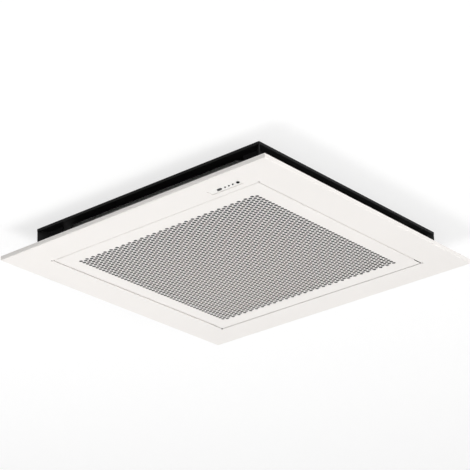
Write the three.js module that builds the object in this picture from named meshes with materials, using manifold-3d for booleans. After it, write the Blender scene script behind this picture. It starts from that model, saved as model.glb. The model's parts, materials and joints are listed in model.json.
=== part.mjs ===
// Ceiling cassette air conditioner with a flat sheet-steel panel and a perforated inlet door.
// Millimetres, +Z up. The origin is the middle of the ceiling opening, z = 0 is the finished
// ceiling: the panel hangs below it and the unit's body stands in the void above it.
// The front, with the receiver, faces -Y. The inlet door hinges at the back and swings down.
import * as THREE from 'three';
import { mergeVertices } from 'three/addons/utils/BufferGeometryUtils.js';
import Module from 'manifold-3d';

const wasm = await Module();
wasm.setup();

// ---------------------------------------------------------------- driving dimensions
// The casing's side and height set the plan and the stack; every other piece is placed from them
// by its own named size, margin or clearance. "inset" and "overhang" count from the edge of the
// piece that it follows, on each side.
const fit = 0.3; // gap between pieces that seat on each other
const casing = { side: 570, height: 250, chamfer: 62, sheet: 1.2, bead: 2, ribInset: 60, ribEnd: 24 };
const liner = { wall: 12, top: 11 };
const diffuser = {
  overhang: 12.5, wall: 2.5, ductInset: 32.5, ductWall: 2, overFilter: 1, slotBottom: 32, slotTop: 6,
  flange: 2, flangeInset: 13, post: 34,
};
const seal = { width: 10.5, setBack: 0.5 };
const panel = { overhang: 52.5, drop: 72, rim: 10, lip: 12, sheet: 1.5, edgeRadius: 2, relief: 2.6 };
const door = { inset: 25, gap: 2.5, sheet: 1.2, rim: 10, lip: 6, corner: 2, hingeStop: 22 };
const perforation = { margin: 37, pitch: 54.4, hole: 19 };
const hinge = {
  fromCorner: 62.5, pin: 2, wall: 2, clear: 0.8, edge: 0.5, width: 26, ear: 3, neck: 12, reach: 24, foot: 10,
  leaf: 2,
};
const latch = {
  fromCorner: 132.5, width: 24, reach: 14, foot: 12, stand: 3, thick: 2.2, magnet: 2.6, strike: 0.9,
};
const filter = { inset: 4, height: 10, bar: 11, rib: 3, ribs: 3, net: 0.8 };
const receiver = {
  fromCorner: 138.5, fromDoor: 24.6, width: 77, depth: 20, thick: 3, corner: 3, flange: 1.5,
};
const button = { offset: -13.5, length: 10.4, width: 4.4, proud: 0.5, travel: 1, collar: 0.9 };
const lamps = { count: 3, offset: 0.5, pitch: 9.5, radius: 1.5, height: 6.1, collar: 0.8 };
const eye = { offset: 32.2, radius: 4.3, proud: 0.8 };
const housing = { marginX: 1, marginY: 0.5, height: 6.1, wall: 1.2 };
const angle = { width: 40, foot: 15, height: 30, thick: 2, holeX: 11, holeZ: 20, hole: 2.3 };
const tray = {
  top: 48, floor: 18, channel: 26.5, wall: 11, clear: 4, channelEnd: 58, hole: 3, sump: 26, sumpDepth: 4,
};
const coil = { thick: 32, bend: 39, endInset: 78, grooves: 8, groove: 5, grooveDepth: 3, plate: 1.5 };
const bend = { pitch: 50, radius: 3.6, half: 8.4, reach: 11, tilt: 4 };
const fan = {
  gap: 21, inletInset: 38, shroudDepth: 32, underMotor: 6, dishDepth: 40, dishGap: 6,
  dishFlare: 38, thick: 2.2, hub: 16, hubDepth: 12, blades: 7, blade: 7, bladeInset: 16, leading: 24,
  sweep: 62, tip: 2,
};
const bell = { height: 48.3, mouth: 6, throat: 5, overlap: 4, thick: 2 };
const motor = { radius: 64, height: 72, shaft: 5, boss: 16, ear: 3.2, earWidth: 18, earCircle: 84 };
const mount = { height: 12, radius: 9, waist: 6, flange: 3 };
const bracket = { depth: 44.8, radius: 98, brim: 14, thick: 1.6, window: 30, eyelet: 22, eyeletCircle: 50 };
const nut = { across: 9.5, height: 8 };
const pipes = {
  gas: 6.35, liquid: 3.2, afterCoil: 24, reach: 33, belowTop: 45.2, aboveFloor: 21.7, step: 40,
  nutLength: 16, nutBack: 4,
};
const opening = { half: 22, below: 28, above: 32, plate: 1.5, plateMargin: 8 };
const pump = {
  inset: 10, radius: 22, height: 50, foot: 8, overTray: 14, strap: 2, strapWidth: 34, strapRise: 34,
};
const hose = { radius: 6, spigot: 12.5, inset: 28, z: 150, reach: 36, flange: 9 };
const float = { inset: 26, stem: 2.5, radius: 9, overFloor: 8, height: 10, travel: 12, knob: 6 };
const control = { inset: 2, width: 62, length: 210, under: 0.4, height: 35.3, wall: 1.2 };
const gland = { bore: 3.5, radius: 7, drop: 17.3, length: 14 };
const hanger = {
  width: 56, tab: 46, height: 60, thick: 3, belowTop: 98, slot: 12, slotLength: 24, gusset: 2,
};

// Plan: half the side of each square piece, and the places that follow from it.
const casingHalf = casing.side / 2;
const diffuserHalf = casingHalf + diffuser.overhang;
const flangeInner = casingHalf - diffuser.flangeInset;
const panelHalf = diffuserHalf + panel.overhang; // 350: the panel is 700 mm square
const doorHalf = diffuserHalf - door.inset; // 272.5
const openHalf = doorHalf + door.gap;
const ductHalf = doorHalf - diffuser.ductInset;
const filterHalf = ductHalf - filter.inset;
const fieldHalf = doorHalf - perforation.margin;
const linerHalf = casingHalf - casing.bead - casing.sheet - fit - liner.wall; // the liner's inner face
const trayEdge = linerHalf - tray.channel;
const channelHalf = trayEdge - tray.channelEnd;
const coilOuter = trayEdge - tray.wall - tray.clear;
const coilInner = coilOuter - coil.thick;
const coilMid = (coilInner + coilOuter) / 2;
const coilEnd = coilOuter - coil.endInset;
const hingeX = doorHalf - hinge.fromCorner;
const latchX = doorHalf - latch.fromCorner;
const receiverAt = { x: panelHalf - receiver.fromCorner, y: -openHalf - receiver.fromDoor };
const buttonX = receiverAt.x + button.offset;
const lampXs = Array.from({ length: lamps.count }, (_, i) => receiverAt.x + lamps.offset + lamps.pitch * i);
const eyeX = receiverAt.x + eye.offset;
const pumpAt = coilOuter - pump.inset; // both x and y: it stands in the pipe corner
const hoseX = pumpAt - hose.inset;
const ribX = hoseX - casing.ribInset; // the casing's pressed ribs stand clear of spigot and pipes
const pipeAt = { x: coilMid, y: coilEnd + pipes.afterCoil, end: casingHalf + pipes.reach };
const floatAt = { x: coilEnd + float.inset, y: coilMid };
const controlX = -(ductHalf - diffuser.ductWall - control.inset);

// Heights, from the room side up.
const faceZ = -panel.drop;
const backZ = faceZ + panel.sheet; // inner side of the panel's sheet
const rimZ = faceZ + panel.rim;
const doorBack = faceZ + door.sheet;
const doorRimZ = faceZ + door.rim;
const barrel = hinge.pin + hinge.wall;
const pivot = { y: doorHalf - barrel - hinge.edge, z: doorBack + hinge.clear + barrel };
const filterTop = doorBack + fit + filter.height;
const ductBottom = filterTop + diffuser.overFilter;
const casingBottom = -diffuser.slotTop + diffuser.flange + fit;
const casingTop = casing.height - casing.bead;
const roofZ = casingTop - casing.sheet; // inner side of the casing's top
const coilBottom = tray.floor + fit;
const coilTop = roofZ - fit - liner.top - fit;
const gasStart = coilTop - pipes.belowTop;
const gasZ = gasStart - pipes.step;
const liquidStart = coilBottom + pipes.aboveFloor;
const liquidZ = liquidStart + pipes.step;
const bendCount = Math.floor((gasStart - liquidStart) / bend.pitch + 0.01);
const pumpFoot = tray.floor + pump.foot; // the pump's foot, its body's underside and its top
const pumpLow = tray.top + pump.overTray;
const pumpTop = pumpLow + pump.height;
const bellLow = -fit - bell.thick;
const bellTop = bellLow + bell.height;
const controlTop = bellLow - control.under;
const controlBottom = controlTop - control.height;
const hangerZ = casingTop - hanger.belowTop;

// The fan hangs from the casing's top: bracket, mounts, motor, then the wheel's dish over the motor.
const bracketZ = roofZ - bracket.depth;
const motorTop = bracketZ - mount.height;
const motorBottom = motorTop - motor.height;
const wheel = { radius: coilInner - fan.gap, dishFloor: motorBottom - fan.underMotor };
wheel.inlet = wheel.radius - fan.inletInset;
wheel.plateZ = wheel.dishFloor + fan.dishDepth;
wheel.lipZ = bellTop - bell.overlap; // the wheel's lip runs a little way down over the bell's throat
wheel.shroudZ = wheel.lipZ + fan.shroudDepth;
wheel.floorRadius = motor.radius + fan.dishGap;
wheel.dishRadius = wheel.floorRadius + fan.dishFlare;
wheel.bladeInner = wheel.dishRadius - fan.bladeInset;
const bellMouthRadius = wheel.radius + bell.mouth;
const throat = wheel.inlet - bell.throat;

// ---------------------------------------------------------------- finishes
const finish = (color, roughness, metalness) =>
  new THREE.MeshStandardMaterial({ color, roughness, metalness });
const white = finish(0xf3f0ec, 0.45, 0.05);
const whitePlastic = finish(0xf1efeb, 0.4, 0);
const grey = finish(0xb9bcbf, 0.5, 0);
const black = finish(0x101011, 0.6, 0.05);
const foam = finish(0x2a2a2c, 0.95, 0);
const galvanised = finish(0xb4b9bc, 0.42, 0.85);
const steel = finish(0xc4c6c8, 0.3, 1);
const styrene = finish(0xe9e9e6, 0.9, 0);
const darkPlastic = finish(0x2c2e30, 0.5, 0);
const aluminium = finish(0xc9ccd0, 0.38, 0.9);
const copper = finish(0xb87352, 0.3, 1);
const brass = finish(0xc9a357, 0.3, 1);
const rubber = finish(0x1b1b1c, 0.85, 0);
const netBlue = finish(0x5a6068, 0.8, 0);
const lensGreen = finish(0x2f3a33, 0.15, 0);

// ---------------------------------------------------------------- shape helpers
function toSolid(geometry) {
  const bare = geometry.index ? geometry.toNonIndexed() : geometry.clone();
  bare.deleteAttribute('normal');
  bare.deleteAttribute('uv');
  const merged = mergeVertices(bare, 1e-4);
  const index = merged.index.array;
  const triVerts = [];
  for (let i = 0; i < index.length; i += 3) {
    const [a, b, c] = [index[i], index[i + 1], index[i + 2]];
    if (a !== b && b !== c && c !== a) triVerts.push(a, b, c); // an axis point leaves flat faces
  }
  const vertProperties = new Float32Array(merged.attributes.position.array);
  const mesh = new wasm.Mesh({ numProp: 3, vertProperties, triVerts: new Uint32Array(triVerts) });
  return new wasm.Manifold(mesh);
}

function toGeometry(solid) {
  const mesh = solid.getMesh();
  const geometry = new THREE.BufferGeometry();
  geometry.setAttribute('position', new THREE.BufferAttribute(mesh.vertProperties, 3));
  geometry.setIndex(new THREE.BufferAttribute(mesh.triVerts, 1));
  geometry.computeVertexNormals();
  return geometry;
}

const join = (...parts) => toGeometry(parts.map(toSolid).reduce((sum, part) => sum.add(part)));
const cut = (base, ...tools) =>
  toGeometry(tools.map(toSolid).reduce((rest, tool) => rest.subtract(tool), toSolid(base)));
const common = (first, second) => toGeometry(toSolid(first).intersect(toSolid(second)));

function block(x0, x1, y0, y1, z0, z1) {
  const size = [x1 - x0, y1 - y0, z1 - z0].map(Math.abs);
  return new THREE.BoxGeometry(...size).translate((x0 + x1) / 2, (y0 + y1) / 2, (z0 + z1) / 2);
}

// A profile of [radius, z] points, closed on itself or ended on the axis, turned about Z.
function ring(profile, segments = 24) {
  const area = profile.reduce((sum, [r, z], i) => {
    const [r2, z2] = profile[(i + 1) % profile.length];
    return sum + r * z2 - r2 * z;
  }, 0);
  const points = (area > 0 ? profile : [...profile].reverse()).map(([r, z]) => new THREE.Vector2(r, z));
  points.push(points[0].clone());
  return toGeometry(toSolid(new THREE.LatheGeometry(points, segments).rotateX(Math.PI / 2)));
}

// The same profile carried round a square: radii are half the square's side.
function squareRing(profile) {
  const turned = profile.map(([half, z]) => [half * Math.SQRT2, z]);
  return ring(turned, 4).rotateZ(Math.PI / 4);
}

function slab(shape, z0, z1, curveSegments = 4) {
  const options = { depth: z1 - z0, bevelEnabled: false, curveSegments };
  return new THREE.ExtrudeGeometry(shape, options).translate(0, 0, z0);
}

// A shape drawn in (y, z) and extruded along X from x0 to x1.
function sideSlab(shape, x0, x1, curveSegments = 4) {
  const turn = new THREE.Matrix4().makeBasis(
    new THREE.Vector3(0, 1, 0), new THREE.Vector3(0, 0, 1), new THREE.Vector3(1, 0, 0));
  return slab(shape, x0, x1, curveSegments).applyMatrix4(turn);
}

// A round bar along axis 'x', 'y' or 'z' between two places on it, through point [a, b] of the others.
function bar(axis, radius, from, to, [a, b], sides = 12) {
  const rod = new THREE.CylinderGeometry(radius, radius, to - from, sides).translate(0, (from + to) / 2, 0);
  if (axis === 'x') return rod.rotateZ(-Math.PI / 2).translate(0, a, b);
  if (axis === 'z') return rod.rotateX(Math.PI / 2).translate(a, b, 0);
  return rod.translate(a, 0, b);
}

// A hole's radius such that a polygon of that many sides clears a round pin by the fit.
const holeRadius = (pin, sides = 12) => (pin + fit) / Math.cos(Math.PI / sides);

function polygon(points) {
  return new THREE.Shape(points.map(([x, y]) => new THREE.Vector2(x, y)));
}

function roundedRect(width, depth, radius, x = 0, y = 0) {
  const [w, d] = [width / 2, depth / 2];
  const shape = new THREE.Shape();
  shape.moveTo(x - w + radius, y - d);
  shape.absarc(x + w - radius, y - d + radius, radius, -Math.PI / 2, 0);
  shape.absarc(x + w - radius, y + d - radius, radius, 0, Math.PI / 2);
  shape.absarc(x - w + radius, y + d - radius, radius, Math.PI / 2, Math.PI);
  shape.absarc(x - w + radius, y - d + radius, radius, Math.PI, Math.PI * 1.5);
  return shape;
}

// The casing's plan, a square with its corners cut off, moved inwards by an even distance.
function chamferedSquare(inset) {
  const half = casingHalf - inset;
  const leg = casing.chamfer - inset * (2 - Math.SQRT2);
  const quarter = [[half, -half + leg], [half, half - leg]];
  const corners = [0, 1, 2, 3].flatMap((k) => quarter.map(([x, y]) => {
    const [c, s] = [Math.cos(k * Math.PI / 2), Math.sin(k * Math.PI / 2)];
    return [x * c - y * s, x * s + y * c];
  }));
  return polygon(corners);
}

// Points of a quarter ellipse from (x0, z0), where it runs along Z, to (x1, z1), where it runs along X.
function quarterArc([x0, z0], [x1, z1], steps) {
  return Array.from({ length: steps + 1 }, (_, i) => {
    const t = (i / steps) * Math.PI / 2;
    return [x1 + (x0 - x1) * Math.cos(t), z0 + (z1 - z0) * Math.sin(t)];
  });
}

function tube(points, radius, sides = 8, steps = 24) {
  const route = points.map((p) => new THREE.Vector3(...p));
  const curve = new THREE.CatmullRomCurve3(route, false, 'centripetal');
  const section = new THREE.Shape(Array.from({ length: sides }, (_, i) => {
    const t = (i / sides) * Math.PI * 2;
    return new THREE.Vector2(radius * Math.cos(t), radius * Math.sin(t));
  }));
  return toGeometry(toSolid(new THREE.ExtrudeGeometry(section, { steps, extrudePath: curve })));
}

const cassette = new THREE.Group();

function add(name, geometry, material, parent = cassette) {
  const mesh = new THREE.Mesh(geometry, material);
  mesh.name = name;
  parent.add(mesh);
  return mesh;
}

// ---------------------------------------------------------------- panel
// A pan folded from sheet: face, rim, a return on top of the rim and a flange round the opening.
function faceFrame() {
  const e = panel.edgeRadius;
  const lipIn = panelHalf - panel.lip;
  const inside = panelHalf - panel.sheet;
  const outerEdge = quarterArc([panelHalf, faceZ + e], [panelHalf - e, faceZ], 3).reverse();
  const pan = squareRing([
    [openHalf, faceZ], ...outerEdge, [panelHalf, rimZ], [lipIn, rimZ], [lipIn, rimZ - panel.sheet],
    [inside, rimZ - panel.sheet], [inside, backZ], [openHalf + panel.sheet, backZ],
    [openHalf + panel.sheet, doorRimZ], [openHalf, doorRimZ],
  ]);
  const far = openHalf + panel.sheet + 1;
  const hingeSide = block(-doorHalf, doorHalf, openHalf - 1, far, backZ, doorRimZ + 1);
  const window = slab(receiverOutline(0), faceZ - 1, backZ + 1);
  const corners = [[-1, -1], [1, -1], [1, 1], [-1, 1]].map(([sx, sy]) =>
    bar('z', panel.relief, faceZ - 1, doorRimZ + 1, [sx * openHalf, sy * openHalf], 10));
  return cut(pan, hingeSide, window, ...corners);
}

function receiverOutline(inset) {
  const { width, depth, corner } = receiver;
  return roundedRect(width - 2 * inset, depth - 2 * inset, corner - inset, receiverAt.x, receiverAt.y);
}

// Staggered rows of hexagonal openings: each one stands for a cluster of the sheet's fine holes.
function perforations() {
  const { pitch, hole } = perforation;
  const rowStep = pitch * Math.cos(Math.PI / 6);
  const rows = Math.floor((2 * fieldHalf) / rowStep + 0.1);
  const perRow = Math.floor((2 * fieldHalf) / pitch);
  const grid = Array.from({ length: rows * perRow }, (_, k) => [Math.floor(k / perRow), k % perRow]);
  return grid.map(([row, i]) => {
    const stagger = row % 2 ? pitch / 4 : -pitch / 4;
    const [x, y] = [(row - (rows - 1) / 2) * rowStep, (i - (perRow - 1) / 2) * pitch + stagger];
    const corner = (k) => [x + hole * Math.cos(k * Math.PI / 3), y + hole * Math.sin(k * Math.PI / 3)];
    return polygon([0, 1, 2, 3, 4, 5].map(corner));
  });
}

// The door's tray: a perforated sheet with folded rims and returns on its three free sides.
function inletDoor() {
  const outlineOf = (half, corner) => roundedRect(2 * half, 2 * half, corner);
  const outline = outlineOf(doorHalf, door.corner);
  outline.holes.push(...perforations());
  const sheet = slab(outline, faceZ, doorBack, 2);
  const end = doorHalf - door.hingeStop;
  const wall = doorHalf - door.sheet;
  const lip = wall - door.lip;
  const outer = slab(outlineOf(doorHalf, door.corner), doorBack - door.sheet / 2, doorRimZ, 2);
  const inner = slab(outlineOf(wall, door.corner / 2), faceZ, doorRimZ - door.sheet, 2);
  const mouth = block(-lip, lip, -lip, doorHalf + 1, faceZ, doorRimZ + 1);
  const hingeSide = block(-doorHalf - 1, doorHalf + 1, end, doorHalf + 1, faceZ, doorRimZ + 1);
  return join(sheet, cut(outer, inner, mouth, hingeSide));
}

// Ears on the panel that carry the hinge pin from above, so that nothing of it shows below.
function hingeBracket() {
  const { width, ear, neck: top, reach: far, foot, leaf } = hinge;
  const footZ = backZ + fit - pivot.z;
  const half = barrel - 0.2;
  const toe = far - foot;
  const arm = polygon([
    [-half, 0], [half, 0], [half, top - 4], [toe, top - 4], [toe, footZ], [far, footZ], [far, top],
    [-half, top],
  ]);
  const inner = width / 2 + fit;
  const outer = inner + ear;
  const ears = [[-outer, -inner], [inner, outer]].flatMap(([x0, x1]) => [
    sideSlab(arm, x0, x1), bar('x', half, x0, x1, [0, 0]),
  ]);
  const sole = block(-outer, outer, toe, far + 8, footZ, footZ + leaf);
  const bore = bar('x', holeRadius(hinge.pin), -outer - 1, outer + 1, [0, 0]);
  return cut(join(...ears, sole), bore);
}

function hingePin() {
  const end = hinge.width / 2 + 2 * fit + hinge.ear;
  const head = bar('x', hinge.pin + 1.4, end, end + 1.6, [0, 0]);
  return join(bar('x', hinge.pin, -end - 2, end + 0.2, [0, 0]), head);
}

// The knuckle welded to the door's back, turning on the pin.
function doorKnuckle() {
  const half = hinge.width / 2;
  const footZ = doorBack + fit - pivot.z;
  const foot = block(-half, half, -20, 2, footZ, footZ + hinge.leaf);
  const web = sideSlab(polygon([[-16, footZ + 1], [2, footZ + 1], [3, 1], [-3, 3]]), -half, half);
  const roll = bar('x', barrel, -half, half, [0, 0]);
  return cut(join(foot, web, roll), bar('x', holeRadius(hinge.pin), -half - 1, half + 1, [0, 0]));
}

// A magnetic catch: a bracket on the panel that reaches over the door's front return.
function doorCatch() {
  const { reach, foot, stand, thick, magnet, strike, width } = latch;
  const post = -openHalf - panel.sheet - stand;
  const strikeZ = doorRimZ + fit + strike + fit;
  const top = strikeZ + magnet + thick;
  const tip = -doorHalf + reach;
  const outline = polygon([
    [post - foot, backZ + fit], [post, backZ + fit], [post, strikeZ + magnet], [tip - 12, strikeZ + magnet],
    [tip - 12, strikeZ], [tip, strikeZ], [tip, top], [post - thick, top],
    [post - thick, backZ + fit + thick], [post - foot, backZ + fit + thick],
  ]);
  return sideSlab(outline, -width / 2, width / 2);
}

function strikePlate() {
  const z = doorRimZ + fit;
  const tip = -doorHalf + latch.reach;
  const plate = block(-latch.width / 2, latch.width / 2, -doorHalf + 1, tip, z, z + latch.strike);
  const fold = block(-latch.width / 2, latch.width / 2, tip - latch.strike, tip, z - 5, z + latch.strike);
  return join(plate, fold);
}

function buildDoorFurniture() {
  for (const [side, s] of [['left', -1], ['right', 1]]) {
    const seat = new THREE.Group();
    seat.position.set(s * hingeX, pivot.y, pivot.z);
    cassette.add(seat);
    add(`hinge_bracket_${side}`, hingeBracket(), steel, seat);
    add(`hinge_pin_${side}`, hingePin(), steel, seat);
    add(`door_knuckle_${side}`, doorKnuckle(), steel, seat);
    add(`door_catch_${side}`, doorCatch(), darkPlastic).position.x = s * latchX;
    add(`strike_plate_${side}`, strikePlate(), steel).position.x = s * latchX;
  }
}

// ---------------------------------------------------------------- filter
function filterFrame() {
  const { bar: width, rib } = filter;
  const bottom = doorBack + fit;
  const inner = filterHalf - width;
  const rim = squareRing([
    [inner, bottom], [filterHalf, bottom], [filterHalf, filterTop], [inner, filterTop],
  ]);
  const step = (2 * filterHalf) / (filter.ribs + 1);
  const reach = filterHalf - 1;
  const ribs = Array.from({ length: filter.ribs }, (_, i) => -filterHalf + step * (i + 1)).flatMap((at) => [
    block(at - rib / 2, at + rib / 2, -reach, reach, filterTop - rib, filterTop),
    block(-reach, reach, at - rib / 2, at + rib / 2, filterTop - rib, filterTop),
  ]);
  return join(rim, ...ribs);
}

function filterNet() {
  const half = filterHalf - filter.bar - fit;
  const top = filterTop - filter.rib - fit;
  return block(-half, half, -half, half, top - filter.net, top);
}

// ---------------------------------------------------------------- receiver
const pill = (length, width, x, y) => roundedRect(length, width, width / 2 - 0.01, x, y);

function receiverPlate() {
  const back = faceZ + receiver.thick;
  const { x: centre, y } = receiverAt;
  const front = slab(receiverOutline(fit), faceZ, back, 2);
  const flange = slab(receiverOutline(-receiver.flange), backZ + fit, back, 2);
  const slotShape = pill(button.length + 2 * fit, button.width + 2 * fit, buttonX, y);
  const slot = slab(slotShape, faceZ - 1, back + 1, 3);
  const bores = lampXs.map((x) => bar('z', holeRadius(lamps.radius, 8), faceZ - 1, back + 1, [x, y], 8));
  const eyeBore = bar('z', holeRadius(eye.radius), faceZ - 1, back + 1, [centre + eye.offset, y]);
  return cut(join(front, flange), slot, ...bores, eyeBore);
}

function receiverButton() {
  const { length, width, proud, collar } = button;
  const back = faceZ + receiver.thick + fit;
  const outline = (margin) => pill(length + 2 * margin, width + 2 * margin, buttonX, receiverAt.y);
  const cap = slab(outline(0), faceZ - proud, back + collar / 2, 3);
  return join(cap, slab(outline(collar), back, back + collar, 3));
}

function lampLens(x) {
  const { radius, height, collar } = lamps;
  const seat = faceZ + receiver.thick + fit;
  return ring([
    [0, faceZ - 0.4], [radius * 0.7, faceZ - 0.2], [radius, faceZ + 0.4], [radius, seat],
    [radius + collar, seat], [radius + collar, seat + collar], [radius, seat + collar],
    [radius, faceZ + height], [0, faceZ + height],
  ], 8).translate(x, receiverAt.y, 0);
}

function receiverEye() {
  const dome = quarterArc([eye.radius, faceZ + 0.4], [0, faceZ - eye.proud], 3).reverse();
  return ring([...dome, [eye.radius, faceZ + lamps.height], [0, faceZ + lamps.height]], 12)
    .translate(eyeX, receiverAt.y, 0);
}

// The cap behind the plate, its floor the circuit board that the lamps, eye and button face.
function receiverHousing() {
  const { marginX, marginY, height, wall } = housing;
  const low = faceZ + receiver.thick + fit;
  const boardZ = faceZ + lamps.height + fit;
  const { x, y } = receiverAt;
  const [width, depth] = [receiver.width + 2 * marginX, receiver.depth + 2 * marginY];
  const outer = slab(roundedRect(width, depth, 2, x, y), low, low + height, 2);
  const inner = slab(roundedRect(width - 2 * wall, depth - 2 * wall, 1, x, y), low - 1, boardZ, 2);
  return cut(outer, inner);
}

function buildReceiver() {
  add('receiver_plate', receiverPlate(), whitePlastic);
  add('receiver_button', receiverButton(), grey);
  lampXs.forEach((x, i) => add(`indicator_lens_${i + 1}`, lampLens(x), lensGreen));
  add('infrared_window', receiverEye(), black);
  add('receiver_housing', receiverHousing(), whitePlastic);
}

// ---------------------------------------------------------------- air outlet
// One black moulding: inner duct wall, the curved deflector that turns the air outwards, the
// outer skirt, and a top flange held over the slot by its corner posts.
function diffuserFrame() {
  const { wall, ductWall, slotBottom, slotTop, flange } = diffuser;
  const outer = diffuserHalf;
  const upper = quarterArc([ductHalf, 0], [outer, -slotBottom], 6);
  const lower = quarterArc([ductHalf, -ductWall * 2], [outer - wall, -slotBottom - wall], 6);
  const body = squareRing([
    [ductHalf - ductWall, ductBottom], [ductHalf, ductBottom], ...lower,
    [outer - wall, rimZ], [outer, rimZ], ...upper.reverse(), [ductHalf - ductWall, 0],
  ]);
  const top = squareRing([
    [flangeInner, -slotTop], [outer, -slotTop], [outer, -slotTop + flange], [flangeInner, -slotTop + flange],
  ]);
  const posts = quarterTurns((turn) => {
    const start = outer - diffuser.post;
    const post = slab(polygon([
      [start, outer], [start, outer - wall], [outer - wall, outer - wall], [outer - wall, start],
      [outer, start], [outer, outer],
    ]), -slotBottom - wall, -slotTop + 1);
    return post.rotateZ(turn);
  });
  return join(body, top, ...posts);
}

function quarterTurns(make) {
  return [0, 1, 2, 3].flatMap((k) => make(k * Math.PI / 2));
}

function ceilingSeal() {
  const outer = diffuserHalf - seal.setBack;
  const bottom = casingBottom;
  return squareRing([[outer - seal.width, bottom], [outer, bottom], [outer, 0], [outer - seal.width, 0]]);
}

// Angle brackets that hang the panel on the inside of the diffuser's skirt.
function panelBracket() {
  const { width, foot, height, thick, holeX, holeZ, hole } = angle;
  const back = -(diffuserHalf - diffuser.wall - fit);
  const sole = backZ + fit;
  const outline = polygon([
    [back, sole], [back + foot, sole], [back + foot, sole + thick], [back + thick, sole + thick],
    [back + thick, sole + height], [back, sole + height],
  ]);
  const bores = [-holeX, holeX].map((x) =>
    bar('y', hole, back - 1, back + thick + 1, [x, sole + holeZ], 8));
  return cut(sideSlab(outline, -width / 2, width / 2), ...bores);
}

function buildPanelBrackets() {
  ['front', 'right', 'back', 'left'].forEach((side, k) => {
    add(`panel_bracket_${side}`, panelBracket(), galvanised).rotation.z = k * Math.PI / 2;
  });
}

// ---------------------------------------------------------------- casing and insulation
// The cut in the casing's wall that the pipes leave by.
function pipeOpening(x0, x1, margin = 0) {
  const half = opening.half + margin;
  const [z0, z1] = [liquidZ - opening.below - margin, gasZ + opening.above + margin];
  return block(x0, x1, pipeAt.y - half, pipeAt.y + half, z0, z1);
}

function casingShell() {
  const [wall, bead] = [casingHalf - casing.bead, casingHalf];
  const outer = slab(chamferedSquare(casing.bead), casingBottom, casingTop);
  const inner = slab(chamferedSquare(casing.bead + casing.sheet), casingBottom - 1, roofZ);
  const sideBeads = quarterTurns((turn) => [-ribX, ribX].map((x) => {
    const outline = polygon([[x + 9, wall - 0.5], [x + 5, bead], [x - 5, bead], [x - 9, wall - 0.5]]);
    return slab(outline, casing.ribEnd, casingTop - casing.ribEnd).rotateZ(turn);
  }));
  const low = casingTop - 0.5;
  const roofBead = ring([[150, low], [168, low], [164, casing.height], [154, casing.height]], 18);
  const drainHole = bar('y', holeRadius(hose.spigot), wall - 4, bead + 1, [hoseX, hose.z]);
  const knockOut = ring([[38, -0.6], [41, -0.6], [41, 1], [38, 1]], 16)
    .rotateY(-Math.PI / 2).translate(-wall, 40, 150);
  const pipeHole = pipeOpening(wall - 3, bead + 1);
  return cut(join(outer, ...sideBeads, roofBead), inner, pipeHole, drainHole, knockOut);
}

function insulationLiner() {
  const skin = casing.bead + casing.sheet + fit;
  const outer = slab(chamferedSquare(skin), casingBottom, roofZ - fit);
  const inner = slab(chamferedSquare(skin + liner.wall), casingBottom - 1, roofZ - fit - liner.top);
  const clear = bracket.radius + bracket.brim + 4;
  const motorHole = bar('z', clear, roofZ - liner.top - 4, roofZ + 1, [0, 0], 18);
  const drainHole = bar('y', holeRadius(hose.spigot), linerHalf - 4, casingHalf, [hoseX, hose.z]);
  return cut(outer, inner, motorHole, pipeOpening(linerHalf - 4, casingHalf), drainHole);
}

// Foam tray under the coil: gutter, sump in the pipe corner, bell-mouth hole, air channels outside.
function dripTray() {
  const { top, floor, clear } = tray;
  const outer = slab(chamferedSquare(casingHalf - linerHalf + fit), fit, top);
  const hole = bar('z', bellMouthRadius + tray.hole, -1, top + 1, [0, 0], 24);
  const channels = quarterTurns((turn) =>
    block(-channelHalf, channelHalf, trayEdge, casingHalf, -1, top + 1).rotateZ(turn));
  const [inner, outside] = [coilInner - clear, coilOuter + clear];
  const outerBend = coil.bend + coil.thick + clear;
  const gutter = cut(
    slab(roundedRect(2 * outside, 2 * outside, outerBend), floor, top + 1),
    slab(roundedRect(2 * inner, 2 * inner, coil.bend - clear), floor - 1, top + 2));
  const sump = bar('z', tray.sump, floor - tray.sumpDepth, top + 1, [pumpAt, pumpAt], 18);
  return cut(outer, hole, ...channels, gutter, sump);
}

// ---------------------------------------------------------------- heat exchanger
const coilTurn = (inset) => {
  const half = coilOuter - inset;
  return roundedRect(2 * half, 2 * half, coil.bend + coil.thick - inset);
};

// The fin pack bent round the fan, open at the pipe corner, its faces grooved between the fins.
function heatExchanger() {
  const { thick, groove, grooves, grooveDepth } = coil;
  const outer = slab(coilTurn(0), coilBottom, coilTop, 5);
  const inner = slab(coilTurn(thick), coilBottom - 1, coilTop + 1, 4);
  const gap = block(coilEnd, casingHalf, coilEnd, casingHalf, coilBottom - 1, coilTop + 1);
  const reach = coilEnd - 12;
  const step = (2 * reach) / grooves;
  const slots = quarterTurns((turn) => Array.from({ length: grooves }, (_, i) => {
    const x = -reach + step * (i + 0.5);
    const depths = [[coilInner - 1, coilInner + grooveDepth], [coilOuter - grooveDepth, coilOuter + 1]];
    return depths.map(([y0, y1]) =>
      block(x - groove / 2, x + groove / 2, y0, y1, coilBottom + 4, coilTop - 4).rotateZ(turn));
  }).flat());
  return cut(outer, inner, gap, ...slots);
}

// A steel end plate with its return bends, drawn for the pack's end that faces +Y on the +X side.
function coilPlate() {
  const at = coilEnd + fit;
  const plate = block(coilInner - 2, coilOuter + 2, at, at + coil.plate, coilBottom, coilTop);
  const bends = Array.from({ length: bendCount }, (_, k) => {
    const z = liquidStart + bend.pitch * (k + 0.5);
    const arc = Array.from({ length: 7 }, (_, i) => {
      const [c, s] = [Math.cos((i / 6) * Math.PI), Math.sin((i / 6) * Math.PI)];
      return [coilMid - bend.half * c, at + 1 + bend.reach * s, z + bend.tilt * c];
    });
    return tube(arc, bend.radius, 5, 6);
  });
  return join(plate, ...bends);
}

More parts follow.
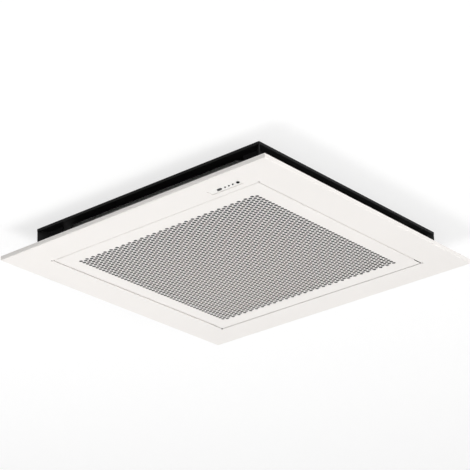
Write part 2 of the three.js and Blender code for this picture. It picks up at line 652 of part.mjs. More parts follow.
function buildCoil() {
  add('heat_exchanger', heatExchanger(), aluminium);
  add('coil_plate_right', cut(coilPlate(), ...pipeHoles()), galvanised);
  // The other end is the same plate seen in the diagonal's mirror, so x and y change places.
  const swap = new THREE.Matrix4().set(0, 1, 0, 0, 1, 0, 0, 0, 0, 0, 1, 0, 0, 0, 0, 1);
  const mirrored = toGeometry(toSolid(coilPlate())).applyMatrix4(swap);
  mirrored.setIndex([...mirrored.index.array].reverse());
  add('coil_plate_back', mirrored, galvanised);
}

// ---------------------------------------------------------------- pipes
const pipeHoles = () => [[pipes.gas, gasStart], [pipes.liquid, liquidStart]].map(([r, z]) =>
  bar('y', holeRadius(r), coilEnd - 1, coilEnd + 4, [pipeAt.x, z]));

// A copper pipe from the fin pack's end, round a bend and straight out through the pipe plate.
function copperPipe(radius, startZ, z) {
  const start = coilEnd + 2 * fit;
  const { x, y, end } = pipeAt;
  const rise = z - startZ;
  const route = [
    [x, start, startZ], [x, start + 6, startZ], [x + 4, y - 9, startZ + rise * 0.3],
    [x + 14, y - 2, startZ + rise * 0.7], [x + 26, y, z], [x + 50, y, z], [casingHalf, y, z], [end, y, z],
  ];
  return tube(route, radius, 7, 18);
}

function flareNut(radius) {
  const across = radius * 1.75 + 2;
  const far = pipeAt.end - pipes.nutBack;
  const near = far - pipes.nutLength;
  const bore = bar('x', holeRadius(radius), near - 1, far + 1, [0, 0]);
  return cut(bar('x', across, near, far, [0, 0], 6), bore);
}

function pipePlate() {
  const x = casingHalf + fit;
  const plate = pipeOpening(x, x + opening.plate, opening.plateMargin);
  const bores = [[pipes.gas, gasZ], [pipes.liquid, liquidZ]].map(([r, z]) =>
    bar('x', holeRadius(r), x - 1, x + opening.plate + 1, [pipeAt.y, z]));
  return cut(plate, ...bores);
}

function buildPipes() {
  add('gas_pipe', copperPipe(pipes.gas, gasStart, gasZ), copper);
  add('liquid_pipe', copperPipe(pipes.liquid, liquidStart, liquidZ), copper);
  add('gas_flare_nut', flareNut(pipes.gas).translate(0, pipeAt.y, gasZ), brass);
  add('liquid_flare_nut', flareNut(pipes.liquid).translate(0, pipeAt.y, liquidZ), brass);
  add('pipe_plate', pipePlate(), galvanised);
}

// ---------------------------------------------------------------- fan
// A square flange that closes the duct's top, drawn up in its middle into the fan's round inlet.
function bellMouth() {
  const inside = quarterArc([throat, bellTop], [bellMouthRadius, bellLow], 4).reverse();
  const outside = quarterArc([throat + bell.thick, bellTop], [bellMouthRadius, -fit], 4);
  const rim = bellMouthRadius + 4;
  const curl = ring([[rim, -fit], [rim, bellLow], ...inside, ...outside], 24);
  const half = ductHalf - diffuser.ductWall - fit;
  const plate = block(-half, half, -half, half, bellLow, -fit);
  const hole = bar('z', bellMouthRadius + 2, bellLow - 1, 1, [0, 0], 24);
  return join(cut(plate, hole), curl);
}

// The shroud's curve from the inlet lip out to the rim, moved outwards by a share of its thickness.
const shroudLine = (out) =>
  quarterArc([wheel.inlet + out, wheel.lipZ], [wheel.radius, wheel.shroudZ - out], 4);
const plateLine = () => [
  [wheel.radius, wheel.plateZ], [wheel.dishRadius, wheel.plateZ], [wheel.floorRadius, wheel.dishFloor],
  [fan.hub - 2, wheel.dishFloor],
];

// A backward-curved aerofoil: its mean line sweeps back as the radius grows, and its thickness
// swells a third of the way along and tapers to the tip.
function bladeOutline() {
  const steps = 5;
  const sweep = THREE.MathUtils.degToRad(fan.sweep);
  const pointOn = (sign, t) => {
    const r = wheel.bladeInner + (wheel.radius - fan.tip - wheel.bladeInner) * t;
    const turn = -sweep * Math.pow(t, 0.85);
    const half = sign * (fan.blade / 2) * (1.6 * Math.sqrt(t + 0.02) * (1 - t) + 0.22);
    const across = turn - 0.75; // the mean line leans back from the radius by this angle
    return [r * Math.cos(turn) + half * Math.sin(across), r * Math.sin(turn) - half * Math.cos(across)];
  };
  const side = (sign) => Array.from({ length: steps + 1 }, (_, i) => pointOn(sign, i / steps));
  const outline = [...side(1), ...side(-1).reverse()];
  const area = THREE.ShapeUtils.area(outline.map(([x, y]) => new THREE.Vector2(x, y)));
  return polygon(area > 0 ? outline : outline.reverse());
}

// The space that the blades fill between shroud and plate, with a sloping leading edge.
function bladeSpace() {
  const { bladeInner, inlet, lipZ, shroudZ, radius, plateZ, dishRadius } = wheel;
  const half = fan.thick / 2;
  const rim = radius + 2;
  const root = bladeInner - 4;
  return ring([
    [root, lipZ + fan.leading], [inlet, lipZ + 6], ...shroudLine(half).slice(1), [rim, shroudZ - half],
    [rim, plateZ + half], [dishRadius, plateZ + half], [root, plateZ - 14],
  ]);
}

function fanImpeller() {
  const t = fan.thick;
  const shroud = ring([...shroudLine(0), ...shroudLine(t).reverse()]);
  const floor = plateLine();
  const plate = ring([...floor, ...floor.map(([r, z]) => [r, z + t]).reverse()]);
  const bore = motor.shaft + fit;
  const [low, high] = [wheel.dishFloor - fan.hubDepth, wheel.dishFloor + 4];
  const hub = ring([[bore, low], [fan.hub, low + 2], [fan.hub, high], [bore, high]], 16);
  const space = bladeSpace();
  const blade = slab(bladeOutline(), wheel.lipZ, wheel.plateZ + 10);
  const blades = Array.from({ length: fan.blades }, (_, k) =>
    common(blade.clone().rotateZ((k / fan.blades) * Math.PI * 2), space));
  return join(shroud, plate, hub, ...blades);
}

function motorShaft() {
  const low = wheel.dishFloor - fan.hubDepth - fit - nut.height - 2;
  return bar('z', motor.shaft, low, motorBottom - fit, [0, 0]);
}

function fanNut() {
  const top = wheel.dishFloor - fan.hubDepth - fit;
  const low = top - nut.height;
  const bore = bar('z', holeRadius(motor.shaft), low - 1, top + 1, [0, 0]);
  return cut(bar('z', nut.across, low, top, [0, 0], 6), bore);
}

// The motor's can, stepped in at its nose, with a rolled band and three ears for the mounts.
function fanMotor() {
  const { radius, ear, earWidth, earCircle, boss } = motor;
  const [bottom, top, low] = [motorBottom, motorTop, motorBottom + 44];
  const body = ring([
    [0, bottom], [boss, bottom], [boss + 2, bottom + 8], [radius - 12, bottom + 12],
    [radius - 2, bottom + 20], [radius, bottom + 28], [radius, top - 8], [radius - 6, top], [0, top],
  ], 18);
  const band = ring([
    [radius - 1, low], [radius + 1.5, low + 1], [radius + 1.5, low + 5], [radius - 1, low + 6],
  ], 18);
  const length = earCircle - 20;
  const outline = roundedRect(length, earWidth, 8, length / 2 + 30, 0);
  const ears = [0, 1, 2].map((k) => slab(outline, top - ear, top, 2).rotateZ((k / 3) * Math.PI * 2));
  return join(body, band, ...ears);
}

function rubberMount() {
  const [low, high, r] = [motorTop + fit, bracketZ - fit, mount.radius];
  return ring([
    [0, low], [r, low], [r, low + mount.flange], [mount.waist, (low + high) / 2], [r, high - mount.flange],
    [r, high], [0, high],
  ], 10);
}

// A pressed cup hung from the casing's top, windowed so that the motor's back is cooled.
function motorBracket() {
  const { radius, brim, thick, window, eyelet, eyeletCircle } = bracket;
  const high = roofZ - fit;
  const cup = ring([
    [0, bracketZ], [radius, bracketZ], [radius, high - thick], [radius + brim, high - thick],
    [radius + brim, high], [radius - thick, high], [radius - thick, bracketZ + thick], [0, bracketZ + thick],
  ], 18);
  const windows = [0, 1, 2, 3, 4, 5].map((k) =>
    block(radius - 8, radius + 6, -window, window, bracketZ + 6, high - 8)
      .rotateZ((k / 6) * Math.PI * 2 + Math.PI / 12));
  const eyelets = [0, 1, 2].map((k) =>
    bar('z', eyelet, bracketZ - 1, bracketZ + 4, [eyeletCircle, 0]).rotateZ(((k + 0.5) / 3) * Math.PI * 2));
  return cut(cup, ...windows, ...eyelets);
}

function buildFan() {
  add('bell_mouth', bellMouth(), whitePlastic);
  add('fan_impeller', fanImpeller(), whitePlastic);
  add('motor_shaft', motorShaft(), steel);
  add('fan_nut', fanNut(), steel);
  add('fan_motor', fanMotor(), darkPlastic);
  add('motor_bracket', motorBracket(), galvanised);
  for (let k = 0; k < 3; k += 1) {
    const turn = (k / 3) * Math.PI * 2;
    add(`motor_mount_${k + 1}`, rubberMount(), rubber)
      .position.set(motor.earCircle * Math.cos(turn), motor.earCircle * Math.sin(turn), 0);
  }
}

// ---------------------------------------------------------------- condensate
function drainPump() {
  const { radius } = pump;
  const body = ring([
    [0, pumpFoot], [7, pumpFoot], [9, pumpFoot + 12], [12, pumpLow - 6], [radius, pumpLow],
    [radius, pumpTop - 6], [radius - 5, pumpTop], [0, pumpTop],
  ], 14).translate(pumpAt, pumpAt, 0);
  const spout = bar('y', hose.radius, pumpAt + radius - 6, pumpAt + radius + 10, [pumpAt, pumpLow + 12], 10);
  return join(body, spout);
}

// How far the liner's inner face stands from the middle at a cut corner, along the diagonal.
function cornerReach() {
  const inset = casingHalf - linerHalf;
  return (2 * linerHalf - casing.chamfer + inset * (2 - Math.SQRT2)) / Math.SQRT2;
}

// The strap that hangs the pump on the casing's cut corner.
function pumpBracket() {
  const { strap, strapWidth, strapRise } = pump;
  const reach = cornerReach() - 2 * fit;
  const near = pumpAt * Math.SQRT2 - 20;
  const low = pumpTop + fit;
  const plate = slab(roundedRect(reach - near, strapWidth, 4, (reach + near) / 2, 0), low, low + strap, 2);
  const back = block(reach - strap, reach, -strapWidth / 2, strapWidth / 2, low, pumpTop + strapRise);
  return join(plate, back).rotateZ(Math.PI / 4);
}

function drainSpigot() {
  const { spigot, reach, flange } = hose;
  const bore = holeRadius(hose.radius);
  const wall = casingHalf - casing.bead;
  return ring([
    [bore, linerHalf + 1.5], [spigot - 0.1, linerHalf + 1.5], [spigot - 0.1, wall + fit],
    [spigot + flange, wall + fit], [spigot + flange, wall + 3], [spigot, wall + 3],
    [spigot, wall + reach - 2], [spigot - 3, wall + reach], [bore, wall + reach],
  ], 12).rotateX(-Math.PI / 2).translate(hoseX, 0, hose.z);
}

function drainHose() {
  const start = pumpAt + pump.radius + 10 + fit;
  const [x, y, z, top] = [hoseX, pumpAt, pumpLow + 12, hose.z];
  return tube([
    [y, start, z], [y, start + 4, z], [y - 2, start + 9, z + 7], [y - 8, start + 9, z + 28],
    [x + 4, start + 7, top - 24], [x, start + 6, top - 8], [x, start + 10, top - 1], [x, start + 17, top],
    [x, casingHalf + 6, top],
  ], hose.radius, 8, 18);
}

function floatStem() {
  const { stem, knob, height, travel, overFloor } = float;
  const top = tray.floor + overFloor + height + travel + 0.5;
  return ring([
    [0, coilBottom], [knob + 1, coilBottom], [knob + 1, coilBottom + 2], [stem, coilBottom + 3],
    [stem, top], [knob, top], [knob, top + 3], [stem, top + 4], [stem, top + 16], [0, top + 16],
  ], 10).translate(floatAt.x, floatAt.y, 0);
}

function floatBody() {
  const { radius, height, stem } = float;
  const low = tray.floor + float.overFloor;
  return ring([
    [holeRadius(stem, 10), low], [radius - 2, low], [radius, low + 2], [radius, low + height - 2],
    [radius - 2, low + height], [holeRadius(stem, 10), low + height],
  ], 10).translate(floatAt.x, floatAt.y, 0);
}

function buildCondensate() {
  add('drip_tray', dripTray(), styrene);
  add('drain_pump', drainPump(), whitePlastic);
  add('pump_bracket', pumpBracket(), galvanised);
  add('drain_hose', drainHose(), grey);
  add('drain_spigot', drainSpigot(), grey);
  add('float_stem', floatStem(), whitePlastic);
  add('float', floatBody(), whitePlastic);
}

// ---------------------------------------------------------------- electrics
const controlSpan = () => [controlX, controlX + control.width, -control.length / 2, control.length / 2];
const glandAt = { x: controlX + control.width / 2, z: controlTop - gland.drop };

function controlBox() {
  const [x0, x1, y0, y1] = controlSpan();
  const w = control.wall;
  const lidTop = controlBottom + w + fit;
  const outer = block(x0, x1, y0, y1, lidTop, controlTop);
  const inner = block(x0 + w, x1 - w, y0 + w, y1 - w, lidTop - 1, controlTop - w);
  const cableHole = bar('y', holeRadius(gland.radius), y1 - 3, y1 + 2, [glandAt.x, glandAt.z]);
  return cut(outer, inner, cableHole);
}

function controlLid() {
  const [x0, x1, y0, y1] = controlSpan();
  const w = control.wall;
  const z = controlBottom;
  const sheet = block(x0, x1, y0, y1, z, z + w);
  const tongue = block(x0 + w + fit, x0 + 2 * w + fit, y0 + 14, y1 - 14, z + 0.5, z + 7);
  return join(sheet, tongue);
}

function cableGland() {
  const { bore, radius, length } = gland;
  const y = control.length / 2;
  return ring([
    [bore, y - 5], [radius, y - 5], [radius, y + fit], [radius + 3, y + fit], [radius + 3, y + 4],
    [radius + 1, y + 5], [radius, y + length], [bore, y + length],
  ], 12).rotateX(-Math.PI / 2).translate(glandAt.x, 0, glandAt.z);
}

// ---------------------------------------------------------------- suspension
// An angle on each cut corner, with an open slot for the threaded rod from the floor above.
function suspensionBracket() {
  const { width, tab, height, thick, slot, slotLength, gusset } = hanger;
  const z = hangerZ;
  const flat = 2 * (casingHalf - casing.bead) - casing.chamfer + casing.bead * (2 - Math.SQRT2);
  const face = flat / Math.SQRT2 + fit;
  const leg = block(face, face + thick, -width / 2, width / 2, z, z + height);
  const tongue = slab(roundedRect(tab + 8, width, 8, face + tab / 2 - 4, 0), z, z + thick, 2);
  const trim = block(face - 12, face, -width, width, z - 1, z + thick + 1);
  const slotX = face + tab - slotLength / 2 + slot / 2;
  const open = slab(pill(slotLength + slot, slot, slotX, 0), z - 1, z + thick + 1, 4);
  const web = polygon([[0, z + 1], [tab * 0.6, z + 1], [0, z + height * 0.7]]);
  const gussets = [-1, 1].map((s) =>
    sideSlab(web, 0, gusset).rotateZ(-Math.PI / 2).translate(face + 1, s * (width / 2 - 4) + 1, 0));
  return cut(join(leg, cut(tongue, trim), ...gussets), open);
}

function buildHangers() {
  ['right_back', 'left_back', 'left_front', 'right_front'].forEach((corner, k) => {
    const piece = add(`suspension_bracket_${corner}`, suspensionBracket(), galvanised);
    piece.rotation.z = Math.PI / 4 + k * Math.PI / 2;
  });
}

// ---------------------------------------------------------------- assembly
add('face_frame', faceFrame(), white);
add('inlet_door', inletDoor(), white);
buildDoorFurniture();
add('filter_frame', filterFrame(), darkPlastic);
add('filter_net', filterNet(), netBlue);
buildReceiver();
add('diffuser_frame', diffuserFrame(), black);
add('ceiling_seal', ceilingSeal(), foam);
buildPanelBrackets();
add('casing_shell', casingShell(), galvanised);
add('insulation_liner', insulationLiner(), styrene);
buildCoil();
buildPipes();
buildFan();
buildCondensate();
add('control_box', controlBox(), galvanised);
add('control_lid', controlLid(), galvanised);
add('cable_gland', cableGland(), darkPlastic);
buildHangers();

export default cassette;
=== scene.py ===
# Ceiling cassette air conditioner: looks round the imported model, seen from below.
import json
import math

import bmesh
import bpy
import numpy as np
from mathutils import Euler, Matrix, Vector
from mathutils.geometry import delaunay_2d_cdt


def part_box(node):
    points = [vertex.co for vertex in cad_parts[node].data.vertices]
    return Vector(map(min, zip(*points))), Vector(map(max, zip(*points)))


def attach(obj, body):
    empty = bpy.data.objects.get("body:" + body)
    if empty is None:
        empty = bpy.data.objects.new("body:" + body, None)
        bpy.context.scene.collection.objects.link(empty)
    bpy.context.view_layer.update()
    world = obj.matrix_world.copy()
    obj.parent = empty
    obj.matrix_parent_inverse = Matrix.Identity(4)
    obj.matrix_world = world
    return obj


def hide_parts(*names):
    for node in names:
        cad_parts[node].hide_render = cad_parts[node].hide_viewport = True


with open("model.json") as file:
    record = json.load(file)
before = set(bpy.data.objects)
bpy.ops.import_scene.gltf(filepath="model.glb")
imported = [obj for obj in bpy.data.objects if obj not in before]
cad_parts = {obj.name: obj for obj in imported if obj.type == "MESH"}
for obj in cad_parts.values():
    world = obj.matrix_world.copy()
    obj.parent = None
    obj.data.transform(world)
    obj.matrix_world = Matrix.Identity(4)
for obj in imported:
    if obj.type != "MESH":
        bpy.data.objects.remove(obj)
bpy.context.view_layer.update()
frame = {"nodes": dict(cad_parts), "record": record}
nodes = frame["nodes"]


# one shader node: settings are its own fields, inputs are values or the sockets that feed it
def addNode(tree, kind, inputs=None, **settings):
    node = tree.nodes.new(kind)
    for key, value in settings.items():
        setattr(node, key, value)
    for key, value in (inputs or {}).items():
        if isinstance(value, bpy.types.NodeSocket):
            tree.links.new(value, node.inputs[key])
        else:
            node.inputs[key].default_value = value
    return node


def maths(tree, operation, first, second=0.0):
    return addNode(tree, "ShaderNodeMath", {0: first, 1: second}, operation=operation).outputs[0]


# Camera and light

view = {
    "place": (2.2777, -2.8603, -1.6251),  # below the ceiling, in front of the unit and to its right
    "turn": (113.851, 1.970, 39.493),  # degrees
    "lens": 145.48,
    "sensor": 36.0,
    "clip": (0.05, 60.0),
}

light = {
    "world": 0.75,
    "lamps": {
        "side": {"place": (3.5, 0.3, -1.0), "aim": (0, 0, -0.05), "size": 3.3, "watts": 81},
        "under": {"place": (-0.7, -0.6, -2.4), "aim": (0, 0, 0), "size": 1.6, "watts": 34},
        "above": {"place": (1.5, -2.0, 3.2), "aim": (0, 0, 0.1), "size": 2.8, "watts": 60},
    },
}


def makeCamera():
    data = bpy.data.cameras.new("camera")
    data.lens, data.sensor_width = view["lens"], view["sensor"]
    data.clip_start, data.clip_end = view["clip"]
    camera = bpy.data.objects.new("camera", data)
    camera.location = view["place"]
    camera.rotation_euler = Euler([math.radians(angle) for angle in view["turn"]])
    bpy.context.collection.objects.link(camera)
    bpy.context.scene.camera = camera


# 1 for rays that show the backdrop: straight to the camera, by a reflection or through glass
def shownRay(tree):
    path = addNode(tree, "ShaderNodeLightPath")
    mirrored = maths(tree, "MAXIMUM", path.outputs["Is Glossy Ray"], path.outputs["Is Transmission Ray"])
    return maths(tree, "MAXIMUM", path.outputs["Is Camera Ray"], mirrored)


def makeLights():
    world = bpy.data.worlds.new("world")
    world.use_nodes = True
    tree = world.node_tree
    tree.nodes.clear()
    level = addNode(tree, "ShaderNodeMapRange", {
        "Value": shownRay(tree), "To Min": light["world"], "To Max": 1.0})
    glow = addNode(tree, "ShaderNodeBackground", {"Color": (1, 1, 1, 1), "Strength": level.outputs[0]})
    addNode(tree, "ShaderNodeOutputWorld", {"Surface": glow.outputs[0]})
    bpy.context.scene.world = world
    for name, lamp in light["lamps"].items():
        data = bpy.data.lights.new(name, "AREA")
        data.shape, data.size, data.energy = "SQUARE", lamp["size"], lamp["watts"]
        piece = bpy.data.objects.new(name, data)
        piece.location = lamp["place"]
        aim = Vector(lamp["aim"]) - Vector(lamp["place"])
        piece.rotation_euler = aim.to_track_quat("-Z", "Y").to_euler()
        bpy.context.collection.objects.link(piece)


makeCamera()
makeLights()
bpy.context.scene.view_settings.view_transform = "Standard"
print("view and light: one camera,", len(light["lamps"]), "lamps")


# Shared effects, one node group each

number, vector = "NodeSocketFloat", "NodeSocketVector"


def makeGroup(name, inputs, outputs):
    group = bpy.data.node_groups.new(name, "ShaderNodeTree")
    for label, kind, value in inputs:
        socket = group.interface.new_socket(label, in_out="INPUT", socket_type=kind)
        if value is not None:
            socket.default_value = value
    for label, kind in outputs:
        group.interface.new_socket(label, in_out="OUTPUT", socket_type=kind)
    return group, group.nodes.new("NodeGroupInput").outputs, group.nodes.new("NodeGroupOutput").inputs


# soft unevenness: noise whose lumps have the given size, spread from low to high
def makeCloud():
    group, given, out = makeGroup(
        "cloud",
        [("place", vector, None), ("size", number, 0.1), ("low", number, 0.0), ("high", number, 1.0)],
        [("value", number)])
    noise = addNode(group, "ShaderNodeTexNoise", {
        "Vector": given["place"], "Scale": maths(group, "DIVIDE", 1.0, given["size"]),
        "Detail": 3.0, "Roughness": 0.55})
    spread = addNode(group, "ShaderNodeMapRange", {
        "Value": noise.outputs["Fac"], "From Min": 0.3, "From Max": 0.7,
        "To Min": given["low"], "To Max": given["high"]})
    group.links.new(spread.outputs[0], out["value"])
    return group


# crystals of a zinc coat: flat cells of the given size, each with its own value from low to high
def makeSpangle():
    group, given, out = makeGroup(
        "spangle",
        [("place", vector, None), ("size", number, 0.01), ("low", number, 0.0), ("high", number, 1.0)],
        [("value", number)])
    cells = addNode(group, "ShaderNodeTexVoronoi", {
        "Vector": given["place"], "Scale": maths(group, "DIVIDE", 1.0, given["size"])})
    split = addNode(group, "ShaderNodeSeparateColor", {"Color": cells.outputs["Color"]})
    spread = addNode(group, "ShaderNodeMapRange", {
        "Value": split.outputs[0], "To Min": given["low"], "To Max": given["high"]})
    group.links.new(spread.outputs[0], out["value"])
    return group


# edges: the normal rounded over the width, and a mask of where it leaves the true one
def makeEdge():
    group, given, out = makeGroup("edge", [("width", number, 0.001)], [("mask", number), ("normal", vector)])
    rounded = addNode(group, "ShaderNodeBevel", {"Radius": given["width"]}, samples=4)
    flat = addNode(group, "ShaderNodeNewGeometry")
    dot = addNode(group, "ShaderNodeVectorMath", {0: rounded.outputs[0], 1: flat.outputs["Normal"]},
                  operation="DOT_PRODUCT")
    mask = addNode(group, "ShaderNodeMapRange", {
        "Value": dot.outputs["Value"], "From Min": 0.98, "From Max": 0.75})
    group.links.new(mask.outputs[0], out["mask"])
    group.links.new(rounded.outputs[0], out["normal"])
    return group


# dust on what faces up, in patches
def makeDust():
    group, given, out = makeGroup(
        "dust", [("place", vector, None), ("amount", number, 0.5)], [("mask", number)])
    normal = addNode(group, "ShaderNodeNewGeometry").outputs["Normal"]
    up = addNode(group, "ShaderNodeSeparateXYZ", {0: normal}).outputs["Z"]
    facing = addNode(group, "ShaderNodeMapRange", {"Value": up, "From Min": 0.2, "From Max": 0.95})
    patches = addNode(group, "ShaderNodeTexNoise", {
        "Vector": given["place"], "Scale": 9.0, "Detail": 6.0})
    worn = addNode(group, "ShaderNodeMapRange", {
        "Value": patches.outputs["Fac"], "From Min": 0.35, "From Max": 0.7})
    mask = maths(group, "MULTIPLY", facing.outputs[0], worn.outputs[0])
    group.links.new(maths(group, "MULTIPLY", mask, given["amount"]), out["mask"])
    return group


effects = {"cloud": makeCloud(), "spangle": makeSpangle(), "edge": makeEdge(), "dust": makeDust()}


def effect(tree, name, output=0, **inputs):
    return addNode(tree, "ShaderNodeGroup", inputs, node_tree=effects[name]).outputs[output]


def softNormal(tree, width):
    return effect(tree, "edge", "normal", width=width)


# a material with its own Principled shader; plain holds the values that are the same all over
def newMaterial(name, plain):
    material = bpy.data.materials.new(name)
    material.use_nodes = True
    tree = material.node_tree
    tree.nodes.clear()
    shader = addNode(tree, "ShaderNodeBsdfPrincipled", plain)
    addNode(tree, "ShaderNodeOutputMaterial", {"Surface": shader.outputs[0]})
    place = addNode(tree, "ShaderNodeTexCoord").outputs["Object"]
    return material, tree, shader.inputs, place


def blend(tree, mask, first, second):
    mix = addNode(tree, "ShaderNodeMix", {0: mask, 6: first, 7: second}, data_type="RGBA",
                  clamp_factor=True)
    return mix.outputs[2]


def shaded(rgb, factor=1.0):
    return tuple(min(1.0, part * factor) for part in rgb) + (1.0,)


def bump(tree, height, distance, strength=1.0, normal=None):
    inputs = {"Height": height, "Distance": distance, "Strength": strength}
    if normal:
        inputs["Normal"] = normal
    return addNode(tree, "ShaderNodeBump", inputs).outputs[0]


# Materials

whitePaint = {
    "colour": (0.862, 0.832, 0.804), "drift": 0.985, "driftSize": 0.22,
    "rough": (0.34, 0.42), "roughSize": 0.05, "peel": 0.0016, "lift": 0.00002,
}


def makeWhitePaint():
    # powder coat: a fine orange peel, a slow drift of tone and a little gloss
    m = whitePaint
    material, tree, shader, place = newMaterial("warmWhitePaint", {"Specular IOR Level": 0.45})
    drift = effect(tree, "cloud", place=place, size=m["driftSize"])
    body = blend(tree, drift, shaded(m["colour"], m["drift"]), shaded(m["colour"]))
    tree.links.new(body, shader["Base Color"])
    low, high = m["rough"]
    rough = effect(tree, "cloud", place=place, size=m["roughSize"], low=low, high=high)
    tree.links.new(rough, shader["Roughness"])
    peel = effect(tree, "cloud", place=place, size=m["peel"])
    tree.links.new(bump(tree, peel, m["lift"]), shader["Normal"])
    return material


moulded = {
    "tones": (0.965, 1.025), "toneSize": 0.03, "roughSpread": 0.05, "roughSize": 0.02,
    "edgeWidth": 0.0008, "edgeTone": 1.8,
}


def makePlastic(name, colour, rough, grain, lift, edge=0.0, specular=0.5):
    # a moulded plastic: fine spark-eroded grain, slightly polished edges
    m = moulded
    material, tree, shader, place = newMaterial(name, {"Specular IOR Level": specular})
    drift = effect(tree, "cloud", place=place, size=m["toneSize"])
    body = blend(tree, drift, *[shaded(colour, tone) for tone in m["tones"]])
    if edge:
        worn = maths(tree, "MULTIPLY", effect(tree, "edge", "mask", width=m["edgeWidth"]), edge)
        body = blend(tree, worn, body, shaded(colour, m["edgeTone"]))
    tree.links.new(body, shader["Base Color"])
    spread = m["roughSpread"]
    gloss = effect(tree, "cloud", place=place, size=m["roughSize"], low=rough - spread, high=rough + spread)
    tree.links.new(gloss, shader["Roughness"])
    fine = effect(tree, "cloud", place=place, size=grain)
    tree.links.new(bump(tree, fine, lift, normal=softNormal(tree, m["edgeWidth"])), shader["Normal"])
    return material


zinc = {
    "colour": (0.50, 0.52, 0.545), "spangle": 0.011, "tones": (0.86, 1.12), "rough": (0.40, 0.54),
    "dust": (0.42, 0.40, 0.37), "dustAmount": 0.45, "metallic": (0.7, 0.1),  # clean, then under dust
    "streak": 0.12, "streakTone": 0.8, "grain": 0.004, "lift": 0.00003, "edgeWidth": 0.0008,
}


def makeZinc():
    # hot-dip zinc on sheet: faint crystals, darker clouds, dust on what faces up
    m = zinc
    material, tree, shader, place = newMaterial("galvanisedSheet", {})
    crystals = effect(tree, "spangle", place=place, size=m["spangle"])
    body = blend(tree, crystals, *[shaded(m["colour"], tone) for tone in m["tones"]])
    clouds = effect(tree, "cloud", place=place, size=m["streak"], low=0.0, high=0.35)
    body = blend(tree, clouds, body, shaded(m["colour"], m["streakTone"]))
    dust = effect(tree, "dust", place=place, amount=m["dustAmount"])
    tree.links.new(blend(tree, dust, body, shaded(m["dust"])), shader["Base Color"])
    clean, dusty = m["metallic"]
    metal = addNode(tree, "ShaderNodeMapRange", {"Value": dust, "To Min": clean, "To Max": dusty})
    tree.links.new(metal.outputs[0], shader["Metallic"])
    low, high = m["rough"]
    rough = effect(tree, "spangle", place=place, size=m["spangle"], low=low, high=high)
    tree.links.new(rough, shader["Roughness"])
    fine = effect(tree, "cloud", place=place, size=m["grain"])
    tree.links.new(bump(tree, fine, m["lift"], normal=softNormal(tree, m["edgeWidth"])), shader["Normal"])
    return material


worked = {
    "patch": 0.018, "edgeWidth": 0.0006, "edgeTone": 1.25, "roughSize": 0.01, "roughSpread": 0.14,
    "grain": 0.002, "lift": 0.00002,
}


def makeMetal(name, colour, rough, tarnish, amount):
    # a worked metal: tarnish in patches, brighter where hands and tools rub its edges
    m = worked
    material, tree, shader, place = newMaterial(name, {"Metallic": 1.0})
    patches = effect(tree, "cloud", place=place, size=m["patch"], low=0.0, high=amount)
    body = blend(tree, patches, shaded(colour), shaded(tarnish))
    rubbed = effect(tree, "edge", "mask", width=m["edgeWidth"])
    body = blend(tree, rubbed, body, shaded(colour, m["edgeTone"]))
    tree.links.new(body, shader["Base Color"])
    gloss = effect(tree, "cloud", place=place, size=m["roughSize"], low=rough, high=rough + m["roughSpread"])
    tree.links.new(gloss, shader["Roughness"])
    fine = effect(tree, "cloud", place=place, size=m["grain"])
    tree.links.new(bump(tree, fine, m["lift"], normal=softNormal(tree, m["edgeWidth"])), shader["Normal"])
    return material


# the seam tone is a painted shade: it darkens the dips between the beads
foam = {"colour": (0.83, 0.83, 0.815), "seamShade": 0.8, "bead": 0.0036, "lift": 0.0004}


def makeBeadFoam():
    # expanded beads pressed together: a lump each, with painted shade darkening the seams between them
    m = foam
    material, tree, shader, place = newMaterial("beadFoam", {"Roughness": 0.85, "Specular IOR Level": 0.25})
    beads = addNode(tree, "ShaderNodeTexVoronoi", {"Vector": place, "Scale": 1 / m["bead"]})
    seam = addNode(tree, "ShaderNodeMapRange", {
        "Value": beads.outputs["Distance"], "From Min": 0.45, "From Max": 0.75})
    # beads in their own colour, painted shade in the seams
    body = blend(tree, seam.outputs[0], shaded(m["colour"]), shaded(m["colour"], m["seamShade"]))
    tree.links.new(body, shader["Base Color"])
    height = maths(tree, "SUBTRACT", 1.0, beads.outputs["Distance"])
    tree.links.new(bump(tree, height, m["lift"]), shader["Normal"])
    return material


# the pore colour is a painted shade: it darkens the pores where they dip in
seal = {"skin": (0.014, 0.014, 0.015), "poreShade": (0.004, 0.004, 0.005), "cells": 900.0, "lift": 0.0003}


def makeSealFoam():
    # closed-cell foam strip: small open pores in a dull black skin, the pores painted darker as painted shade
    # in the holes
    m = seal
    material, tree, shader, place = newMaterial("sealFoam", {"Roughness": 0.9, "Specular IOR Level": 0.2})
    pores = addNode(tree, "ShaderNodeTexVoronoi", {"Vector": place, "Scale": m["cells"]})
    raised = addNode(tree, "ShaderNodeMapRange", {
        "Value": pores.outputs["Distance"], "From Min": 0.1, "From Max": 0.4}).outputs[0]
    # painted shade in the pores, the skin in its own colour
    tree.links.new(blend(tree, raised, shaded(m["poreShade"]), shaded(m["skin"])), shader["Base Color"])
    tree.links.new(bump(tree, raised, m["lift"]), shader["Normal"])
    return material


# gap is a painted shade: the dark colour painted between the fins
fins = {
    "pitch": 0.0016, "colour": (0.62, 0.64, 0.67), "dull": 0.8, "gap": (0.10, 0.105, 0.115), "lift": 0.0006,
}


